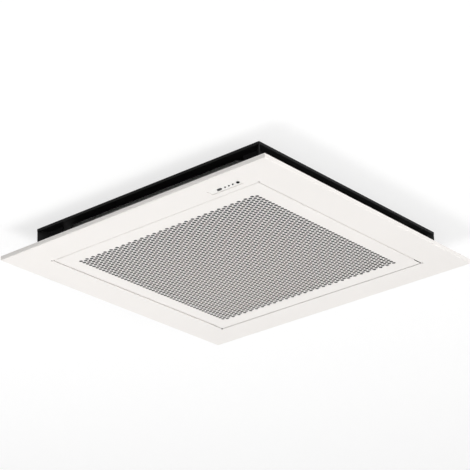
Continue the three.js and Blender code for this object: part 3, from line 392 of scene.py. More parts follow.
def makeFins():
    # thin upright fins side by side: they stack along X on the front and back, along Y on the sides; the dark
    # gap colour between them is painted shade, standing for the shade deep in the coil
    m = fins
    material, tree, shader, place = newMaterial("coilFins", {"Metallic": 0.9, "Roughness": 0.35})
    xyz = addNode(tree, "ShaderNodeSeparateXYZ", {0: place}).outputs
    reach = [maths(tree, "ABSOLUTE", xyz[i]) for i in (0, 1)]
    sideways = maths(tree, "GREATER_THAN", *reach)
    along = addNode(tree, "ShaderNodeMix", {0: sideways, 2: xyz[0], 3: xyz[1]}).outputs[0]
    wave = maths(tree, "SINE", maths(tree, "MULTIPLY", along, 2 * math.pi / m["pitch"]))
    edge = addNode(tree, "ShaderNodeMapRange", {
        "Value": wave, "From Min": -0.2, "From Max": 0.7}).outputs[0]
    uneven = effect(tree, "cloud", place=place, size=0.02, low=0.0, high=0.3)
    bright = blend(tree, uneven, shaded(m["colour"]), shaded(m["colour"], m["dull"]))
    # fins in their own colour, the gaps between them dark as painted shade
    tree.links.new(blend(tree, edge, shaded(m["gap"]), bright), shader["Base Color"])
    tree.links.new(bump(tree, edge, m["lift"]), shader["Normal"])
    return material


# gap is a painted shade: the near-black colour of the holes between the threads
net = {"pitch": 0.0014, "thread": (0.020, 0.024, 0.028), "gap": (0.003, 0.003, 0.004), "lift": 0.0004}


def makeNet():
    # woven net: round threads along X and Y, with square gaps between them painted near black as painted
    # shade, standing for the dark inside seen through the net
    m = net
    material, tree, shader, place = newMaterial("filterWeave", {"Roughness": 0.6})
    xyz = addNode(tree, "ShaderNodeSeparateXYZ", {0: place}).outputs
    turns = [maths(tree, "MULTIPLY", xyz[i], math.pi / m["pitch"]) for i in (0, 1)]
    waves = [maths(tree, "ABSOLUTE", maths(tree, "SINE", turn)) for turn in turns]
    ridge = maths(tree, "MAXIMUM", waves[0], waves[1])
    cover = addNode(tree, "ShaderNodeMapRange", {
        "Value": ridge, "From Min": 0.80, "From Max": 0.93}).outputs[0]
    tree.links.new(blend(tree, cover, shaded(m["gap"]), shaded(m["thread"])), shader["Base Color"])
    tree.links.new(bump(tree, ridge, m["lift"]), shader["Normal"])
    return material


lens = {"deep": (0.010, 0.012, 0.010), "pale": (0.035, 0.040, 0.034), "rough": (0.12, 0.2)}


def makeLens():
    # smoked lens over a lamp that is off
    m = lens
    material, tree, shader, place = newMaterial("smokedLens", {"Specular IOR Level": 0.4})
    depth = effect(tree, "cloud", place=place, size=0.0012)
    tree.links.new(blend(tree, depth, shaded(m["deep"]), shaded(m["pale"])), shader["Base Color"])
    low, high = m["rough"]
    gloss = effect(tree, "cloud", place=place, size=0.003, low=low, high=high)
    tree.links.new(gloss, shader["Roughness"])
    return material


# grain is the size of the lumps and lift their height, both in metres
plastics = {
    "white": {"colour": (0.86, 0.845, 0.815), "rough": 0.42, "grain": 0.0009, "lift": 0.00002},
    "grey": {"colour": (0.42, 0.43, 0.45), "rough": 0.45, "grain": 0.0008, "lift": 0.00002},
    "black": {"colour": (0.012, 0.012, 0.0125), "rough": 0.50, "grain": 0.0009, "lift": 0.00003,
              "edge": 0.3, "specular": 0.10},
    "dark": {"colour": (0.026, 0.027, 0.030), "rough": 0.48, "grain": 0.0009, "lift": 0.00003, "edge": 0.5},
    "rubber": {"colour": (0.012, 0.012, 0.012), "rough": 0.75, "grain": 0.0012, "lift": 0.00004,
               "specular": 0.3},
    "button": {"colour": (0.040, 0.042, 0.046), "rough": 0.5, "grain": 0.0008, "lift": 0.00002},
}

metals = {
    "zinc": {"colour": (0.60, 0.61, 0.62), "rough": 0.22, "tarnish": (0.40, 0.41, 0.42), "amount": 0.5},
    "copper": {"colour": (0.78, 0.40, 0.26), "rough": 0.20, "tarnish": (0.38, 0.17, 0.10), "amount": 0.6},
    "brass": {"colour": (0.80, 0.58, 0.26), "rough": 0.22, "tarnish": (0.45, 0.30, 0.12), "amount": 0.5},
}

materials = {
    "white_steel": makeWhitePaint(),
    "white_plastic": makePlastic("whitePlastic", **plastics["white"]),
    "grey_plastic": makePlastic("greyPlastic", **plastics["grey"]),
    "black_plastic": makePlastic("blackPlastic", **plastics["black"]),
    "dark_plastic": makePlastic("darkPlastic", **plastics["dark"]),
    "seal_foam": makeSealFoam(),
    "galvanised_steel": makeZinc(),
    "bright_steel": makeMetal("brightZinc", **metals["zinc"]),
    "styrene_foam": makeBeadFoam(),
    "filter_net": makeNet(),
    "lamp_lens": makeLens(),
    "coil_aluminium": makeFins(),
    "copper": makeMetal("drawnCopper", **metals["copper"]),
    "brass": makeMetal("turnedBrass", **metals["brass"]),
    "mount_rubber": makePlastic("mountRubber", **plastics["rubber"]),
}


# nodes whose own part of a slot has another tone
ownMaterials = {"receiver_button": makePlastic("buttonPlastic", **plastics["button"])}


def coverNodes():
    for row in frame["record"]["subparts"]:
        material = ownMaterials.get(row["node"], materials[row["material_slot"]])
        for slot in nodes[row["node"]].material_slots:
            slot.material = material


coverNodes()
print("materials:", len(materials), "on", len(nodes), "nodes")


# Surfaces: a square path with rounded corners, and a cross-section carried along it

sheetLimits = {"plan": 1e-7, "weld": 2e-6, "sharp": 35}  # metres, metres, degrees


# unit vectors outward and along the side, for a side turned by the angle in degrees
def sideAxes(angle):
    turn = math.radians(angle)
    return np.array([math.cos(turn), math.sin(turn)]), np.array([-math.sin(turn), math.cos(turn)])


# outward directions of the given number of points round a circle
def circleOf(count):
    turns = np.arange(count) * 2 * math.pi / count
    return np.c_[np.cos(turns), np.sin(turns)]


# each path point has a corner sign, an outward direction, a shift and whether it lies past the stop: the y on
# the two sides where the section changes, put in twice; seen from above the path runs against the clock
def squarePath(steps, stop=None):
    sign, out, shift, past = [], [], [], []
    for corner in range(4):
        middle = math.radians(90 * corner - 45)
        angles = np.linspace(middle - math.pi / 4, middle + math.pi / 4, steps + 1)
        sign.append(np.tile(np.sign([math.cos(middle), math.sin(middle)]), (steps + 1, 1)))
        out.append(np.c_[np.cos(angles), np.sin(angles)])
        shift.append(np.zeros((steps + 1, 2)))
        past.append(np.full(steps + 1, corner in (1, 2)))
        if stop is not None and corner in (0, 2):
            side = 1.0 if corner == 0 else -1.0
            sign.append(np.array([[side, 0.0]] * 2))
            out.append(np.array([[side, 0.0]] * 2))
            shift.append(np.array([[0.0, stop]] * 2))
            past.append(np.array([corner == 2, corner == 0]))
    return np.vstack(sign), np.vstack(out), np.vstack(shift), np.concatenate(past)


# place = sign * (half - radius) + radius * outward + shift, for every section point on every path point
def sweepSquare(path, half, height, radius):
    sign, out, shift = path[:3]
    half, height, radius = (np.broadcast_to(part, (len(part), len(sign))) for part in (half, height, radius))
    flat = sign * (half - radius)[..., None] + out * radius[..., None] + shift
    return np.concatenate([flat, height[..., None]], axis=2)


# a grid of points closed round the path: rows are section points, columns path points
def gridFaces(rows, columns, start=0):
    row, column = np.meshgrid(np.arange(rows - 1), np.arange(columns), indexing="ij")
    after = (column + 1) % columns
    quads = np.stack([row * columns + column, row * columns + after,
                      (row + 1) * columns + after, (row + 1) * columns + column], axis=2)
    return quads.reshape(-1, 4) + start


# the faces of such a grid, and a face over its last ring
def cappedFaces(rows, columns):
    return [*gridFaces(rows, columns), list(range((rows - 1) * columns, rows * columns))]


# points on a circle from one angle in degrees to another
def arc(centre, radius, start, end, steps):
    angles = np.radians(np.linspace(start, end, steps + 1))
    return np.c_[centre[0] + radius * np.cos(angles), centre[1] + radius * np.sin(angles)]


# even-odd test: how many of the loop's edges cross the ray that runs from each point along +X
def insideLoop(points, loop):
    start, end = loop, np.roll(loop, -1, axis=0)
    x, y = points[:, :1], points[:, 1:]
    spans = (start[:, 1] > y) != (end[:, 1] > y)
    rise = np.where(spans, end[:, 1] - start[:, 1], 1.0)
    crossing = start[:, 0] + (y - start[:, 1]) / rise * (end[:, 0] - start[:, 0])
    return np.sum(spans & (crossing > x), axis=1) % 2 == 1


# flat sheet between an outline and loops cut out of it: triangles of the whole, less those inside a loop;
# with hollow outlines or loops, each triangle's middle is tested too
def sheetTriangles(outline, loops, convex=True):
    points = [tuple(point) for point in outline]
    edges = [(i, (i + 1) % len(points)) for i in range(len(points))]
    owner = [-1] * len(points)
    for k, loop in enumerate(loops):
        start = len(points)
        points += [tuple(point) for point in loop]
        edges += [(start + i, start + (i + 1) % len(loop)) for i in range(len(loop))]
        owner += [k] * len(loop)
    found = delaunay_2d_cdt([Vector(point) for point in points], edges, [], 0, sheetLimits["plan"])
    first = np.array([ids[0] for ids in found[3]])
    triangles = first[np.array(found[2])]
    owner = np.array(owner)[triangles]
    inLoop = (owner[:, 0] >= 0) & (owner[:, 0] == owner[:, 1]) & (owner[:, 1] == owner[:, 2])
    if convex:
        return triangles[~inLoop]
    middles = np.array(points)[triangles].mean(axis=1)
    for k, loop in enumerate(loops):
        inLoop[owner[:, 0] == k] &= insideLoop(middles[owner[:, 0] == k], np.asarray(loop))
    return triangles[~inLoop & insideLoop(middles, np.asarray(outline))]


# a sheet from its edges: each edge is a grid of section points, from the front face round to the back
def sheetFromEdges(edges, convex=True):
    triangles = sheetTriangles(edges[0][0, :, :2], [edge[0, :, :2] for edge in edges[1:]], convex)
    faces, front, back, start = [], [], [], 0
    for edge in edges:
        rows, columns = edge.shape[:2]
        faces += [*gridFaces(rows, columns, start)]
        front.append(start + np.arange(columns))
        back.append(start + (rows - 1) * columns + np.arange(columns))
        start += rows * columns
    front, back = np.concatenate(front)[triangles], np.concatenate(back)[triangles]
    return np.vstack([edge.reshape(-1, 3) for edge in edges]), [*faces, *front, *back[:, ::-1]]


# section points carried round a loop: place = loop + normal * offset, at the section's height
def edgeGrid(loop, normals, offsets, heights):
    offsets, heights = (np.broadcast_to(part, (len(part), len(loop))) for part in (offsets, heights))
    flat = loop + normals * offsets[..., None]
    return np.concatenate([flat, heights[..., None]], axis=2)


def makePiece(name, points, faces, slot):
    mesh = bpy.data.meshes.new(name)
    mesh.from_pydata(np.asarray(points, float).tolist(), [], [list(map(int, face)) for face in faces])
    work = bmesh.new()
    work.from_mesh(mesh)
    bmesh.ops.remove_doubles(work, verts=work.verts, dist=sheetLimits["weld"])
    bmesh.ops.recalc_face_normals(work, faces=work.faces)
    work.to_mesh(mesh)
    work.free()
    mesh.materials.append(materials[slot])
    mesh.shade_smooth()
    mesh.set_sharp_from_angle(angle=math.radians(sheetLimits["sharp"]))
    piece = bpy.data.objects.new(name, mesh)
    bpy.context.collection.objects.link(piece)
    return piece


# Inlet door: thin sheet with staggered punched holes, its rims folded up and back on three sides

door = {
    "sheet": 0.0005, "edge": 0.0003, "backEdge": 0.0002, "bend": 0.0032, "lip": 0.006, "hingeStop": 0.022,
    "corner": 0.0022, "leastCorner": 0.0004,
    "rows": 56, "perRow": 48, "pitch": 0.00977, "hole": 0.00415, "holeSides": 12,  # hole is a radius
}


def makeDoor():
    d = door
    low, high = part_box("inlet_door")
    half, face, top = high.x, low.z, high.z
    sheet, bend, edge, backEdge = d["sheet"], d["bend"], d["edge"], d["backEdge"]
    bends = [(half - bend, face + bend), (half - bend, top - bend)]
    strip = np.array([(half - 2 * bend, face)])  # keeps the shading of the face flat
    outer = np.vstack([strip, arc(bends[0], bend, -90, 0, 4), arc(bends[1], bend, 0, 90, 4)])
    inner = np.vstack([arc(bends[1], bend - sheet, 90, 0, 2), arc(bends[0], bend - sheet, 0, -90, 2),
                       strip + (0, sheet)])
    lip = np.array([(half - sheet - d["lip"], top), (half - sheet - d["lip"], top - sheet)])
    tall = np.vstack([outer, lip, inner])
    # past the stop the sheet is flat and only its own edge is rounded, which clears the hinge brackets
    rest = np.linspace(half - 2 * edge, half - 2 * bend, len(tall) - len(outer))
    short = np.vstack([strip, arc((half - edge, face + edge), edge, -90, 0, 4),
                       arc((half - backEdge, face + sheet - backEdge), backEdge, 0, 90, 4),
                       np.c_[rest, np.full(len(rest), face + sheet)]])
    path = squarePath(5, stop=half - d["hingeStop"])
    past = path[3]
    halves = np.where(past, short[:, :1], tall[:, :1])
    heights = np.where(past, short[:, 1:], tall[:, 1:])
    radii = np.maximum(d["corner"] - (half - halves), d["leastCorner"])
    grid = sweepSquare(path, halves, heights, radii)
    rows, columns = grid.shape[:2]
    # holes: rows along Y, every second one shifted half a pitch
    row, place = np.meshgrid(np.arange(d["rows"]), np.arange(d["perRow"]), indexing="ij")
    x = (row - (d["rows"] - 1) / 2) * d["pitch"] * math.sqrt(0.75)
    y = (place - (d["perRow"] - 1) / 2 + np.where(row % 2, 0.25, -0.25)) * d["pitch"]
    loops = np.c_[x.ravel(), y.ravel()][:, None, :] + circleOf(d["holeSides"]) * d["hole"]
    triangles = sheetTriangles(grid[0, :, :2], loops)
    count = rows * columns
    holes = loops.reshape(-1, 2)
    front = np.where(triangles < columns, triangles, triangles - columns + count)
    back = np.where(triangles < columns, triangles + (rows - 1) * columns,
                    triangles - columns + count + len(holes))
    points = np.vstack([grid.reshape(-1, 3), np.c_[holes, np.full(len(holes), face)],
                        np.c_[holes, np.full(len(holes), face + sheet)]])
    index = np.arange(len(holes))
    after = index - index % d["holeSides"] + (index + 1) % d["holeSides"]
    walls = np.c_[index, after, after + len(holes), index + len(holes)] + count
    faces = [*gridFaces(rows, columns), *front, *back[:, ::-1], *walls]
    piece = makePiece("perforatedDoor", points, faces, "white_steel")
    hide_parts("inlet_door")
    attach(piece, "door")
    return piece


perforated = makeDoor()
print("door:", len(perforated.data.vertices), "points,", len(perforated.data.polygons), "faces")


# Face frame: a folded pan with a flanged opening for the door, relieved at its corners, and a receiver window

pan = {
    "sheet": 0.0015, "bend": 0.0020, "topBend": 0.0012, "inBend": 0.0005, "lip": 0.012,
    "corner": 0.0012, "leastCorner": 0.0003, "opening": 0.275, "flangeBend": 0.0007, "relief": 0.0026,
    "window": (0.077, 0.020), "windowCorner": 0.003, "windowEdge": 0.0008,
}


def middleOf(node):
    low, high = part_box(node)
    return ((low.x + high.x) / 2, (low.y + high.y) / 2)


# a rounded rectangle as a loop and its outward normals
def roundedLoop(centre, width, depth, radius, steps=4):
    angles = np.radians(np.linspace(-90, 0, steps + 1)[None, :] + 90 * np.arange(4)[:, None]).ravel()
    signs = np.repeat([(1, -1), (1, 1), (-1, 1), (-1, -1)], steps + 1, axis=0)
    normals = np.c_[np.cos(angles), np.sin(angles)]
    return np.array(centre) + signs * (np.array([width, depth]) / 2 - radius) + normals * radius, normals


# the opening's edge: four straight sides, each from relief to relief, and a three-quarter circle at each
# corner; it also gives, for each point, whether the side's flange stands there
def openingLoop(half, relief, steps=10):
    loop, normals, flanged = [], [], []
    for side in range(4):
        out, along = sideAxes(90 * side)
        reach = half - relief
        ends = [out * half - along * reach] * 2 + [out * half + along * reach] * 2
        circle = arc((0, 0), 1, 90 * side - 90, 90 * side + 180, steps)[1:-1]
        loop += [ends, (out + along) * half + circle * relief]
        normals += [[out] * 4, circle]
        flanged += [[False, side != 1, side != 1, False], [False] * len(circle)]
    return np.vstack(loop), np.vstack(normals), np.concatenate(flanged)


def makeFrame():
    p = pan
    low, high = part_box("face_frame")
    half, face, top = high.x, low.z, high.z
    sheet, bend, topBend, inBend = p["sheet"], p["bend"], p["topBend"], p["inBend"]
    inside, back, lip = half - sheet, face + sheet, half - p["lip"]
    rim = np.vstack([
        [(half - 2 * bend, face)], arc((half - bend, face + bend), bend, -90, 0, 5),
        arc((half - topBend, top - topBend), topBend, 0, 90, 3),
        [(lip, top), (lip, top - sheet), (inside, top - sheet), (inside, back + inBend),
         (inside - inBend, back), (half - 2 * bend, back)]])
    path = squarePath(4)
    radii = np.maximum(p["corner"] - (half - rim[:, :1]), p["leastCorner"])
    outer = sweepSquare(path, rim[:, :1], rim[:, 1:], radii)
    loop, normals, flanged = openingLoop(p["opening"], p["relief"])
    turn = p["flangeBend"]
    flange = np.vstack([
        [(2 * turn, face)], arc((turn, face + turn), turn, 270, 180, 5),
        [(0, top), (sheet, top), (sheet, back + inBend), (sheet + inBend, back), (2 * turn, back)]])
    plain = np.c_[np.zeros(len(flange)), np.clip(flange[:, 1], face, back)]
    opening = edgeGrid(loop, normals, np.where(flanged, flange[:, :1], plain[:, :1]),
                       np.where(flanged, flange[:, 1:], plain[:, 1:]))
    edge = p["windowEdge"]
    loop, normals = roundedLoop(middleOf("receiver_plate"), *p["window"], p["windowCorner"])
    rolled = np.vstack([[(2 * edge, face)], arc((edge, face + edge), edge, 270, 180, 3), [(0, back)]])
    window = edgeGrid(loop, normals, rolled[:, :1], rolled[:, 1:])
    points, faces = sheetFromEdges([outer, opening, window], convex=False)
    piece = makePiece("foldedFrame", points, faces, "white_steel")
    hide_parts("face_frame")
    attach(piece, "unit")
    return piece


folded = makeFrame()
print("frame:", len(folded.data.vertices), "points,", len(folded.data.polygons), "faces")


# Outlet frame: a duct that curves out to the lip, the flange under the ceiling, and four corner posts

outlet = {
    "duct": 0.240, "ductWall": 0.0025, "ductFoot": -0.0595, "bowTop": -0.004, "wall": 0.0025,
    "lip": -0.032, "lipRound": 0.0016, "footRound": 0.0006, "corner": 0.0015, "leastCorner": 0.0004,
    "slotTop": -0.006, "flange": 0.002, "flangeInner": 0.272, "gusset": 0.490,
    "flangeEdge": 0.002, "flangeRound": 0.0006,
    "post": 0.056, "postBack": 0.020, "web": 0.0007, "webBack": 0.0008, "postSink": 0.001, "postTop": -0.005,
}


def joinParts(parts):
    points, faces, start = [], [], 0
    for partPoints, partFaces in parts:
        points.append(partPoints)
        faces += [[index + start for index in face] for face in partFaces]
        start += len(partPoints)
    return np.vstack(points), faces


def makeOutlet():
    p = outlet
    low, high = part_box("diffuser_frame")
    half, foot = high.x, low.z
    duct, wall, lip, bend = p["duct"], p["wall"], p["lip"], p["lipRound"]
    angles = np.radians(np.linspace(0, 90, 17))
    # quarter ellipses: upright at the duct, level at the lip
    bow = p["bowTop"]
    lower = np.c_[half - wall - (half - wall - duct) * np.cos(angles),
                  bow + (lip - wall - bow) * np.sin(angles)]
    upper = np.c_[half - (half - duct) * np.cos(angles), lip * np.sin(angles)]
    inner, footRound = duct - p["ductWall"], p["footRound"]
    section = np.vstack([
        [(inner, p["ductFoot"]), (duct, p["ductFoot"])], lower,
        [(half - wall, foot)], arc((half - footRound, foot + footRound), footRound, -90, 0, 2),
        arc((half - bend, lip - bend), bend, 0, 90, 4), upper[-4::-1],
        [(inner, 0), (inner, p["ductFoot"])]])
    path = squarePath(4)
    radii = np.maximum(p["corner"] - (half - section[:, :1]), p["leastCorner"])
    grid = sweepSquare(path, section[:, :1], section[:, 1:], radii)
    body = (grid.reshape(-1, 3), gridFaces(*grid.shape[:2]))
    # the flange under the ceiling, its opening cut off at the corners
    under, top = p["slotTop"], p["slotTop"] + p["flange"]
    side, cut = p["flangeInner"], p["gusset"] - p["flangeInner"]
    octagon = np.array([(side, -cut), (side, cut), (cut, side), (-cut, side),
                        (-side, cut), (-side, -cut), (-cut, -side), (cut, -side)])
    strip, turn = half - p["flangeEdge"], p["flangeRound"]
    edge = np.array([(strip, under), (half - turn, under), (half, under + turn), (half, top), (strip, top)])
    radii = np.maximum(p["corner"] - (half - edge[:, :1]), p["leastCorner"])
    rim = sweepSquare(path, edge[:, :1], edge[:, 1:], radii)
    opening = edgeGrid(octagon, octagon, np.zeros((2, 1)), np.array([[under], [top]]))
    flange = sheetFromEdges([rim, opening], convex=False)
    # posts deep in the slot's corners, each with a thin web out to the lip's corner
    start, front, web = half - p["post"], half - p["postBack"], p["web"]
    inside, tip = front - wall, half - p["webBack"]
    loop = np.array([(front, front - web), (tip, tip - 2 * web), (tip, tip), (tip - 2 * web, tip),
                     (front - web, front), (start, front), (start, inside), (inside, inside),
                     (inside, start), (front, start)])
    ends = np.array([[lip - p["postSink"]], [p["postTop"]]])
    posts = []
    for quarter in range(4):
        turned = loop @ np.array(sideAxes(90 * quarter))
        posts.append(sheetFromEdges([edgeGrid(turned, turned, np.zeros((2, 1)), ends)], convex=False))
    points, faces = joinParts([body, flange, *posts])
    piece = makePiece("outletFrame", points, faces, "black_plastic")
    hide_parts("diffuser_frame")
    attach(piece, "unit")


makeOutlet()
print("outlet frame: made")


# Bell mouth: a square plate whose round mouth curls up, by a quarter ellipse, into the fan's throat

bell = {
    "mouth": 0.181, "throat": 0.132, "sheet": 0.002, "rim": 0.0045, "corner": 0.003,
    "lipDrop": 0.0006, "lipMiddle": 0.001, "steps": 18, "around": 120,
}


def makeBell():
    b = bell
    low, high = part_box("bell_mouth")
    angles = np.radians(np.linspace(0, 90, b["steps"] + 1))
    face, back, top = low.z, low.z + b["sheet"], high.z
    start = b["mouth"] + b["rim"]  # the plate's round opening, where the curl begins
    reach, peak = b["mouth"] - b["throat"], top - b["lipDrop"]
    inside = np.c_[b["mouth"] - reach * np.sin(angles), peak - (peak - face) * np.cos(angles)]
    outside = np.c_[b["mouth"] - (reach - b["sheet"]) * np.sin(angles),
                    peak - (peak - back) * np.cos(angles)][::-1]
    lip = arc((b["throat"] + b["sheet"] / 2, top - b["lipMiddle"]), b["sheet"] / 2, 180, 0, 6)
    section = np.vstack([[(start, face)], inside, lip, outside, [(start, back)]])
    circle = circleOf(b["around"])
    curl = edgeGrid(circle * start, circle, section[:, :1] - start, section[:, 1:])
    outline, normals = roundedLoop((0, 0), 2 * high.x, 2 * high.y, b["corner"])
    rim = edgeGrid(outline, normals, np.zeros((2, 1)), np.array([[face], [back]]))
    points, faces = sheetFromEdges([rim, curl])
    piece = makePiece("bellMouth", points, faces, "white_plastic")
    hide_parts("bell_mouth")
    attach(piece, "unit")


makeBell()
print("bell mouth: made")


# Receiver plate: set back a little in its window, with rounded holes for the button, lamps and eye

plate = {
    "setBack": 0.0016, "gap": 0.0003, "edge": 0.0004, "flange": 0.0015, "flangeThick": 0.0012,
    "holeEdge": 0.0002, "button": (0.0118, 0.0058), "lamp": 0.0020, "eye": 0.0036,
    "straight": 0.00001,  # half of the flat left on a round hole, so that no two points fall together
}


def makePlate():
    p = plate
    low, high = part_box("receiver_plate")
    face, back = low.z + p["setBack"], high.z
    gap, edge, hole, flange = p["gap"], p["edge"], p["holeEdge"], p["flange"]
    width, depth = high.x - low.x - 2 * flange, high.y - low.y - 2 * flange
    loop, normals = roundedLoop(middleOf("receiver_plate"), width, depth, pan["windowCorner"])
    step = back - p["flangeThick"]  # the flange behind the window
    section = np.vstack([
        [(-gap - 2 * edge, face)], arc((-gap - edge, face + edge), edge, -90, 0, 3),
        [(-gap, step), (flange, step), (flange, back), (-gap - 2 * edge, back)]])
    edges = [edgeGrid(loop, normals, section[:, :1], section[:, 1:])]
    rolled = np.vstack([[(2 * hole, face)], arc((hole, face + hole), hole, 270, 180, 2), [(0, back)]])
    holes = [("receiver_button", *p["button"])]
    holes += [("indicator_lens_%d" % k, 2 * p["lamp"], 2 * p["lamp"]) for k in (1, 2, 3)]
    holes += [("infrared_window", 2 * p["eye"], 2 * p["eye"])]
    for node, wide, deep in holes:
        loop, normals = roundedLoop(middleOf(node), wide, deep, deep / 2 - p["straight"], steps=5)
        edges.append(edgeGrid(loop, normals, rolled[:, :1], rolled[:, 1:]))
    points, faces = sheetFromEdges(edges)
    piece = makePiece("receiverPlate", points, faces, "white_plastic")
    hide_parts("receiver_plate")
    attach(piece, "unit")


# Infra-red eye: a low dome turned about its own axis, its foot held behind the plate

eye = {"radius": 0.0034, "dome": 0.0014, "tip": 0.02, "steps": 8, "around": 40}


def makeEye():
    e = eye
    low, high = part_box("infrared_window")
    angles = np.linspace(e["tip"], math.pi / 2, e["steps"] + 1)
    dome = np.c_[e["radius"] * np.sin(angles), low.z + e["dome"] * (1 - np.cos(angles))]
    section = np.vstack([dome, [(e["radius"], high.z)]])
    middle = np.tile(middleOf("infrared_window"), (e["around"], 1))
    grid = edgeGrid(middle, circleOf(e["around"]), section[:, :1], section[:, 1:])
    faces = [*cappedFaces(*grid.shape[:2]), list(range(e["around"]))]
    piece = makePiece("eyeDome", grid.reshape(-1, 3), faces, "black_plastic")
    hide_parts("infrared_window")
    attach(piece, "unit")


makePlate()
makeEye()
print("receiver: plate and eye made")


# Casing: one bent and pressed sheet, worked out as a grid from the foot up the walls and in over the roof

casing = {
    "half": 0.283, "chamfer": 0.062, "bend": 0.003, "bendIn": 0.0002, "sheet": 0.0011,
    "foot": -0.0037, "roof": 0.248, "lidStep": 0.0008, "lidDepth": 0.018, "lidEdge": 0.0004,
    "beadX": 0.130, "beadHalf": 0.009, "beadRise": 0.0019, "beadEnds": (0.024, 0.218), "beadRun": 0.008,
    "ring": 0.159, "ringHalf": 0.009, "ringsWithin": (0.12, 0.06, 0.004),
    "ribReach": (0.190, 0.318), "ribRun": 0.01, "ribHalf": 0.010, "ribFlat": 0.004,
    # rows of the wall's grid: outside and inside a bead's end, and from where to where between the ends
    "beadRows": (0.004, 0.010), "wallRows": (0.07, 0.19),
}


# smooth rise from 0 to 1 as the value goes from low to high
def rise(value, low, high):
    t = np.clip((value - low) / (high - low), 0, 1)
    return t * t * (3 - 2 * t)


# the octagon with rounded bends: points, outward normals, the place along the side, and 1 on the long sides
def casingOutline():
    c = casing
    half, chamfer, bend = c["half"], c["chamfer"], c["bend"]
    long = half - chamfer - bend
    short = (chamfer - bend * 0.6) / math.sqrt(2)
    beads = np.linspace(-1.25, 1.25, 13) * c["beadHalf"]
    places = np.r_[np.linspace(-long, long, 23), beads - c["beadX"], beads + c["beadX"]]
    places = np.unique(np.round(places, 6))
    points, normals, along, isLong = [], [], [], []
    for side in range(8):
        out, run = sideAxes(45 * side)
        reach = half if side % 2 == 0 else math.sqrt(2) * (half - chamfer / 2)
        spots = places if side % 2 == 0 else np.linspace(-short, short, 21)
        points.append(out * reach + spots[:, None] * run)
        normals.append(np.tile(out, (len(spots), 1)))
        along.append(spots)
        isLong.append(np.full(len(spots), side % 2 == 0))
        middle = sideAxes(45 * side + 22.5)[0]  # one point on the round of the bend
        corner = np.array([half, half - chamfer]) if side % 2 == 0 else np.array([half - chamfer, half])
        points.append([corner @ np.array(sideAxes(90 * (side // 2))) - middle * c["bendIn"]])
        normals.append([middle])
        along.append([1.0])
        isLong.append([False])
    return np.vstack(points), np.vstack(normals), np.concatenate(along), np.concatenate(isLong)


def makeCasing():
    c = casing
    loop, normals, along, isLong = casingOutline()
    columns = len(loop)
    bend, roof, lidFoot = c["bend"], c["roof"], c["roof"] - c["lidDepth"]
    low, high = c["beadEnds"]
    outer, inner = c["beadRows"]
    lidEdge, run = c["lidEdge"], c["beadRun"]
    # walls: height and shift along the normal; the lid's skirt laps over them near the top
    heights = np.r_[c["foot"], np.linspace(low - outer, low + inner, 6), np.linspace(*c["wallRows"], 5),
                    np.linspace(high - inner, high + outer, 6), lidFoot + lidEdge * np.array([-1, 0, 2])]
    lid = rise(heights, lidFoot - lidEdge, lidFoot)
    bead = isLong * rise(-np.abs(np.abs(along) - c["beadX"]), -c["beadHalf"], -c["beadHalf"] / 2.5)
    ends = rise(heights, low, low + run) * rise(-heights, -high, -high + run)
    shift = c["lidStep"] * lid[:, None] + c["beadRise"] * ends[:, None] * bead[None, :]
    flat = loop + normals * shift[..., None]
    tall = np.broadcast_to(heights[:, None, None], (len(heights), columns, 1))
    walls = np.concatenate([flat, tall], axis=2)
    # the bend into the roof
    turn = arc((c["lidStep"] - bend, roof - bend), bend, 0, 90, 5)
    fold = edgeGrid(loop, normals, turn[:, :1], turn[:, 1:])
    # roof: straight in from the outline to the pressed ring, over the ring, then to the middle
    angles = np.arctan2(loop[:, 1], loop[:, 0])
    circle = np.c_[np.cos(angles), np.sin(angles)]
    edge = fold[-1, :, :2]
    radii = c["ring"] + c["ringHalf"] * np.linspace(1.3, -1.3, 15)
    inward = np.linspace(0.02, 1, 22)[:, None, None]
    outside = edge * (1 - inward) + circle * radii[0] * inward
    inner = np.r_[radii[1:], c["ringsWithin"]]
    plan = np.concatenate([outside, circle[None] * inner[:, None, None]])
    radius = np.hypot(plan[..., 0], plan[..., 1])
    ring = rise(-np.abs(radius - c["ring"]), -c["ringHalf"], -c["ringHalf"] / 2.2)
    # four ribs on the diagonals: how far from the nearer diagonal, and how far out
    offset = np.abs(np.abs(plan[..., 0]) - np.abs(plan[..., 1])) / math.sqrt(2)
    (start, end), run = c["ribReach"], c["ribRun"]
    rib = rise(-offset, -c["ribHalf"], -c["ribFlat"])
    rib = rib * rise(radius, start, start + run) * rise(-radius, -end, -end + run)
    top = roof + c["beadRise"] * np.maximum(ring, rib)
    over = np.concatenate([plan, top[..., None]], axis=2)
    grid = np.concatenate([walls, fold, over])
    piece = makePiece("zincCasing", grid.reshape(-1, 3), cappedFaces(len(grid), columns), "galvanised_steel")
    wall = piece.modifiers.new("sheet", "SOLIDIFY")
    wall.thickness, wall.offset = c["sheet"], -1
    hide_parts("casing_shell")
    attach(piece, "unit")
    return piece


screws = {
    "radius": 0.0042, "apart": 0.19, "lidDrop": 0.009, "footHeight": 0.010,
    "roofRing": 0.135, "roofAngles": (60, 180, 300), "around": 12, "flats": 0.9, "head": 0.7,
    # each ring's radius and height as shares of the flange's radius; rings within the head are hexagons
    "profile": [(1.0, 0.0), (1.0, 0.10), (0.86, 0.16), (0.60, 0.17), (0.60, 0.42), (0.52, 0.48),
                (0.02, 0.48)],
}


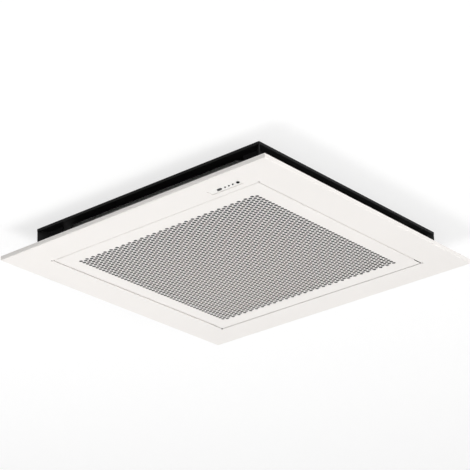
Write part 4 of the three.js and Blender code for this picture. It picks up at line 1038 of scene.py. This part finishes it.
# a flanged hexagon screw, its axis along the given direction: rings of points from the flange to the head
def screw(place, direction):
    profile, around, radius = np.array(screws["profile"]), screws["around"], screws["radius"]
    circle = circleOf(around)
    hexagon = np.where(np.arange(around) % 2 == 0, 1.0, screws["flats"])
    spread = np.where(profile[:, :1] < screws["head"], hexagon, 1.0) * profile[:, :1] * radius
    axis = np.array(direction, float)
    side = np.cross(axis, (0, 0, 1)) if abs(axis[2]) < 0.9 else np.array([1.0, 0.0, 0.0])
    up = np.cross(side, axis)
    ring = circle[:, :1] * side + circle[:, 1:] * up
    points = np.array(place) + spread[..., None] * ring + (profile[:, 1] * radius)[:, None, None] * axis
    return points.reshape(-1, 3), cappedFaces(len(profile), around)


def makeScrews():
    half, step, roof, apart = casing["half"], casing["lidStep"], casing["roof"], screws["apart"]
    spots = []
    for quarter in range(4):
        out, run = sideAxes(90 * quarter)
        lid = [out * (half + step) + run * along for along in (-apart, 0.0, apart)]
        foot = [out * half + run * along for along in (-apart, apart)]
        spots += [((*spot, roof - screws["lidDrop"]), (*out, 0)) for spot in lid]
        spots += [((*spot, screws["footHeight"]), (*out, 0)) for spot in foot]
    for angle in screws["roofAngles"]:
        spots.append(((*(screws["roofRing"] * sideAxes(angle)[0]), roof), (0, 0, 1)))
    points, faces = joinParts([screw(place, direction) for place, direction in spots])
    piece = makePiece("casingScrews", points, faces, "bright_steel")
    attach(piece, "unit")


knockOut = {
    "y": 0.040, "z": 0.150, "around": 64,
    # each ring's radius and how far it stands off the wall
    "profile": [(0.0415, -0.0001), (0.0410, 0.0005), (0.0402, 0.0006), (0.0396, 0.0001), (0.0390, 0.0001),
                (0.0384, 0.0006), (0.0376, 0.0007), (0.0040, 0.0009), (0.0005, 0.0009)],
}


# the knock-out for fresh air: a disc with a turned groove round it, held by the uncut sheet
def makeKnockOut():
    profile, around = np.array(knockOut["profile"]), knockOut["around"]
    circle = circleOf(around)
    x = -casing["half"] - np.broadcast_to(profile[:, 1:], (len(profile), around))
    y = knockOut["y"] + profile[:, :1] * circle[:, 0]
    z = knockOut["z"] + profile[:, :1] * circle[:, 1]
    points = np.stack([x, y, z], axis=2).reshape(-1, 3)
    piece = makePiece("airKnockOut", points, cappedFaces(len(profile), around), "galvanised_steel")
    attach(piece, "unit")


zincCasing = makeCasing()
makeScrews()
makeKnockOut()
print("casing:", len(zincCasing.data.vertices), "points, with its screws and knock-out")


# Stage: the ceiling that the unit hangs in, and a pale floor far below

stage = {
    "ceiling": (0.2940, 6.0), "floor": -2.7, "reach": 6.0,
    "ceilingWhite": (0.30, 0.72), "floorWhite": (0.80, 0.50),  # the surface's own white, and its lift
}


# seen from one side only, and no bar to the lamps; its own shade stays, lifted towards white for the camera
def makeOneSided(name):
    white, lift = stage[name]
    material = bpy.data.materials.new(name)
    material.use_nodes = True
    tree = material.node_tree
    tree.nodes.clear()
    matt = addNode(tree, "ShaderNodeBsdfDiffuse", {"Color": (white, white, white, 1)})
    glow = addNode(tree, "ShaderNodeEmission", {"Strength": maths(tree, "MULTIPLY", shownRay(tree), lift)})
    both = addNode(tree, "ShaderNodeAddShader", {0: matt.outputs[0], 1: glow.outputs[0]})
    clear = addNode(tree, "ShaderNodeBsdfTransparent")
    back = addNode(tree, "ShaderNodeNewGeometry").outputs["Backfacing"]
    passed = maths(tree, "MAXIMUM", back, addNode(tree, "ShaderNodeLightPath").outputs["Is Shadow Ray"])
    mix = addNode(tree, "ShaderNodeMixShader", {0: passed, 1: both.outputs[0], 2: clear.outputs[0]})
    addNode(tree, "ShaderNodeOutputMaterial", {"Surface": mix.outputs[0]})
    return material


def makeMesh(name, points, faces, material):
    mesh = bpy.data.meshes.new(name)
    mesh.from_pydata(np.asarray(points).tolist(), [], faces)
    mesh.materials.append(material)
    piece = bpy.data.objects.new(name, mesh)
    bpy.context.collection.objects.link(piece)
    return piece


def makeStage():
    inner, outer = stage["ceiling"]
    square = np.array([(-1, -1), (1, -1), (1, 1), (-1, 1)])
    points = np.vstack([np.c_[square * inner, np.zeros(4)], np.c_[square * outer, np.zeros(4)]])
    ring = [(i, i + 4, (i + 1) % 4 + 4, (i + 1) % 4) for i in range(4)]
    ceiling = makeMesh("ceiling", points, [face[::-1] for face in ring], makeOneSided("ceilingWhite"))
    reach = stage["reach"]
    floor = makeMesh("floor", np.c_[square * reach, np.full(4, stage["floor"])], [(0, 1, 2, 3)],
                     makeOneSided("floorWhite"))


makeStage()
print("stage: ceiling and floor")
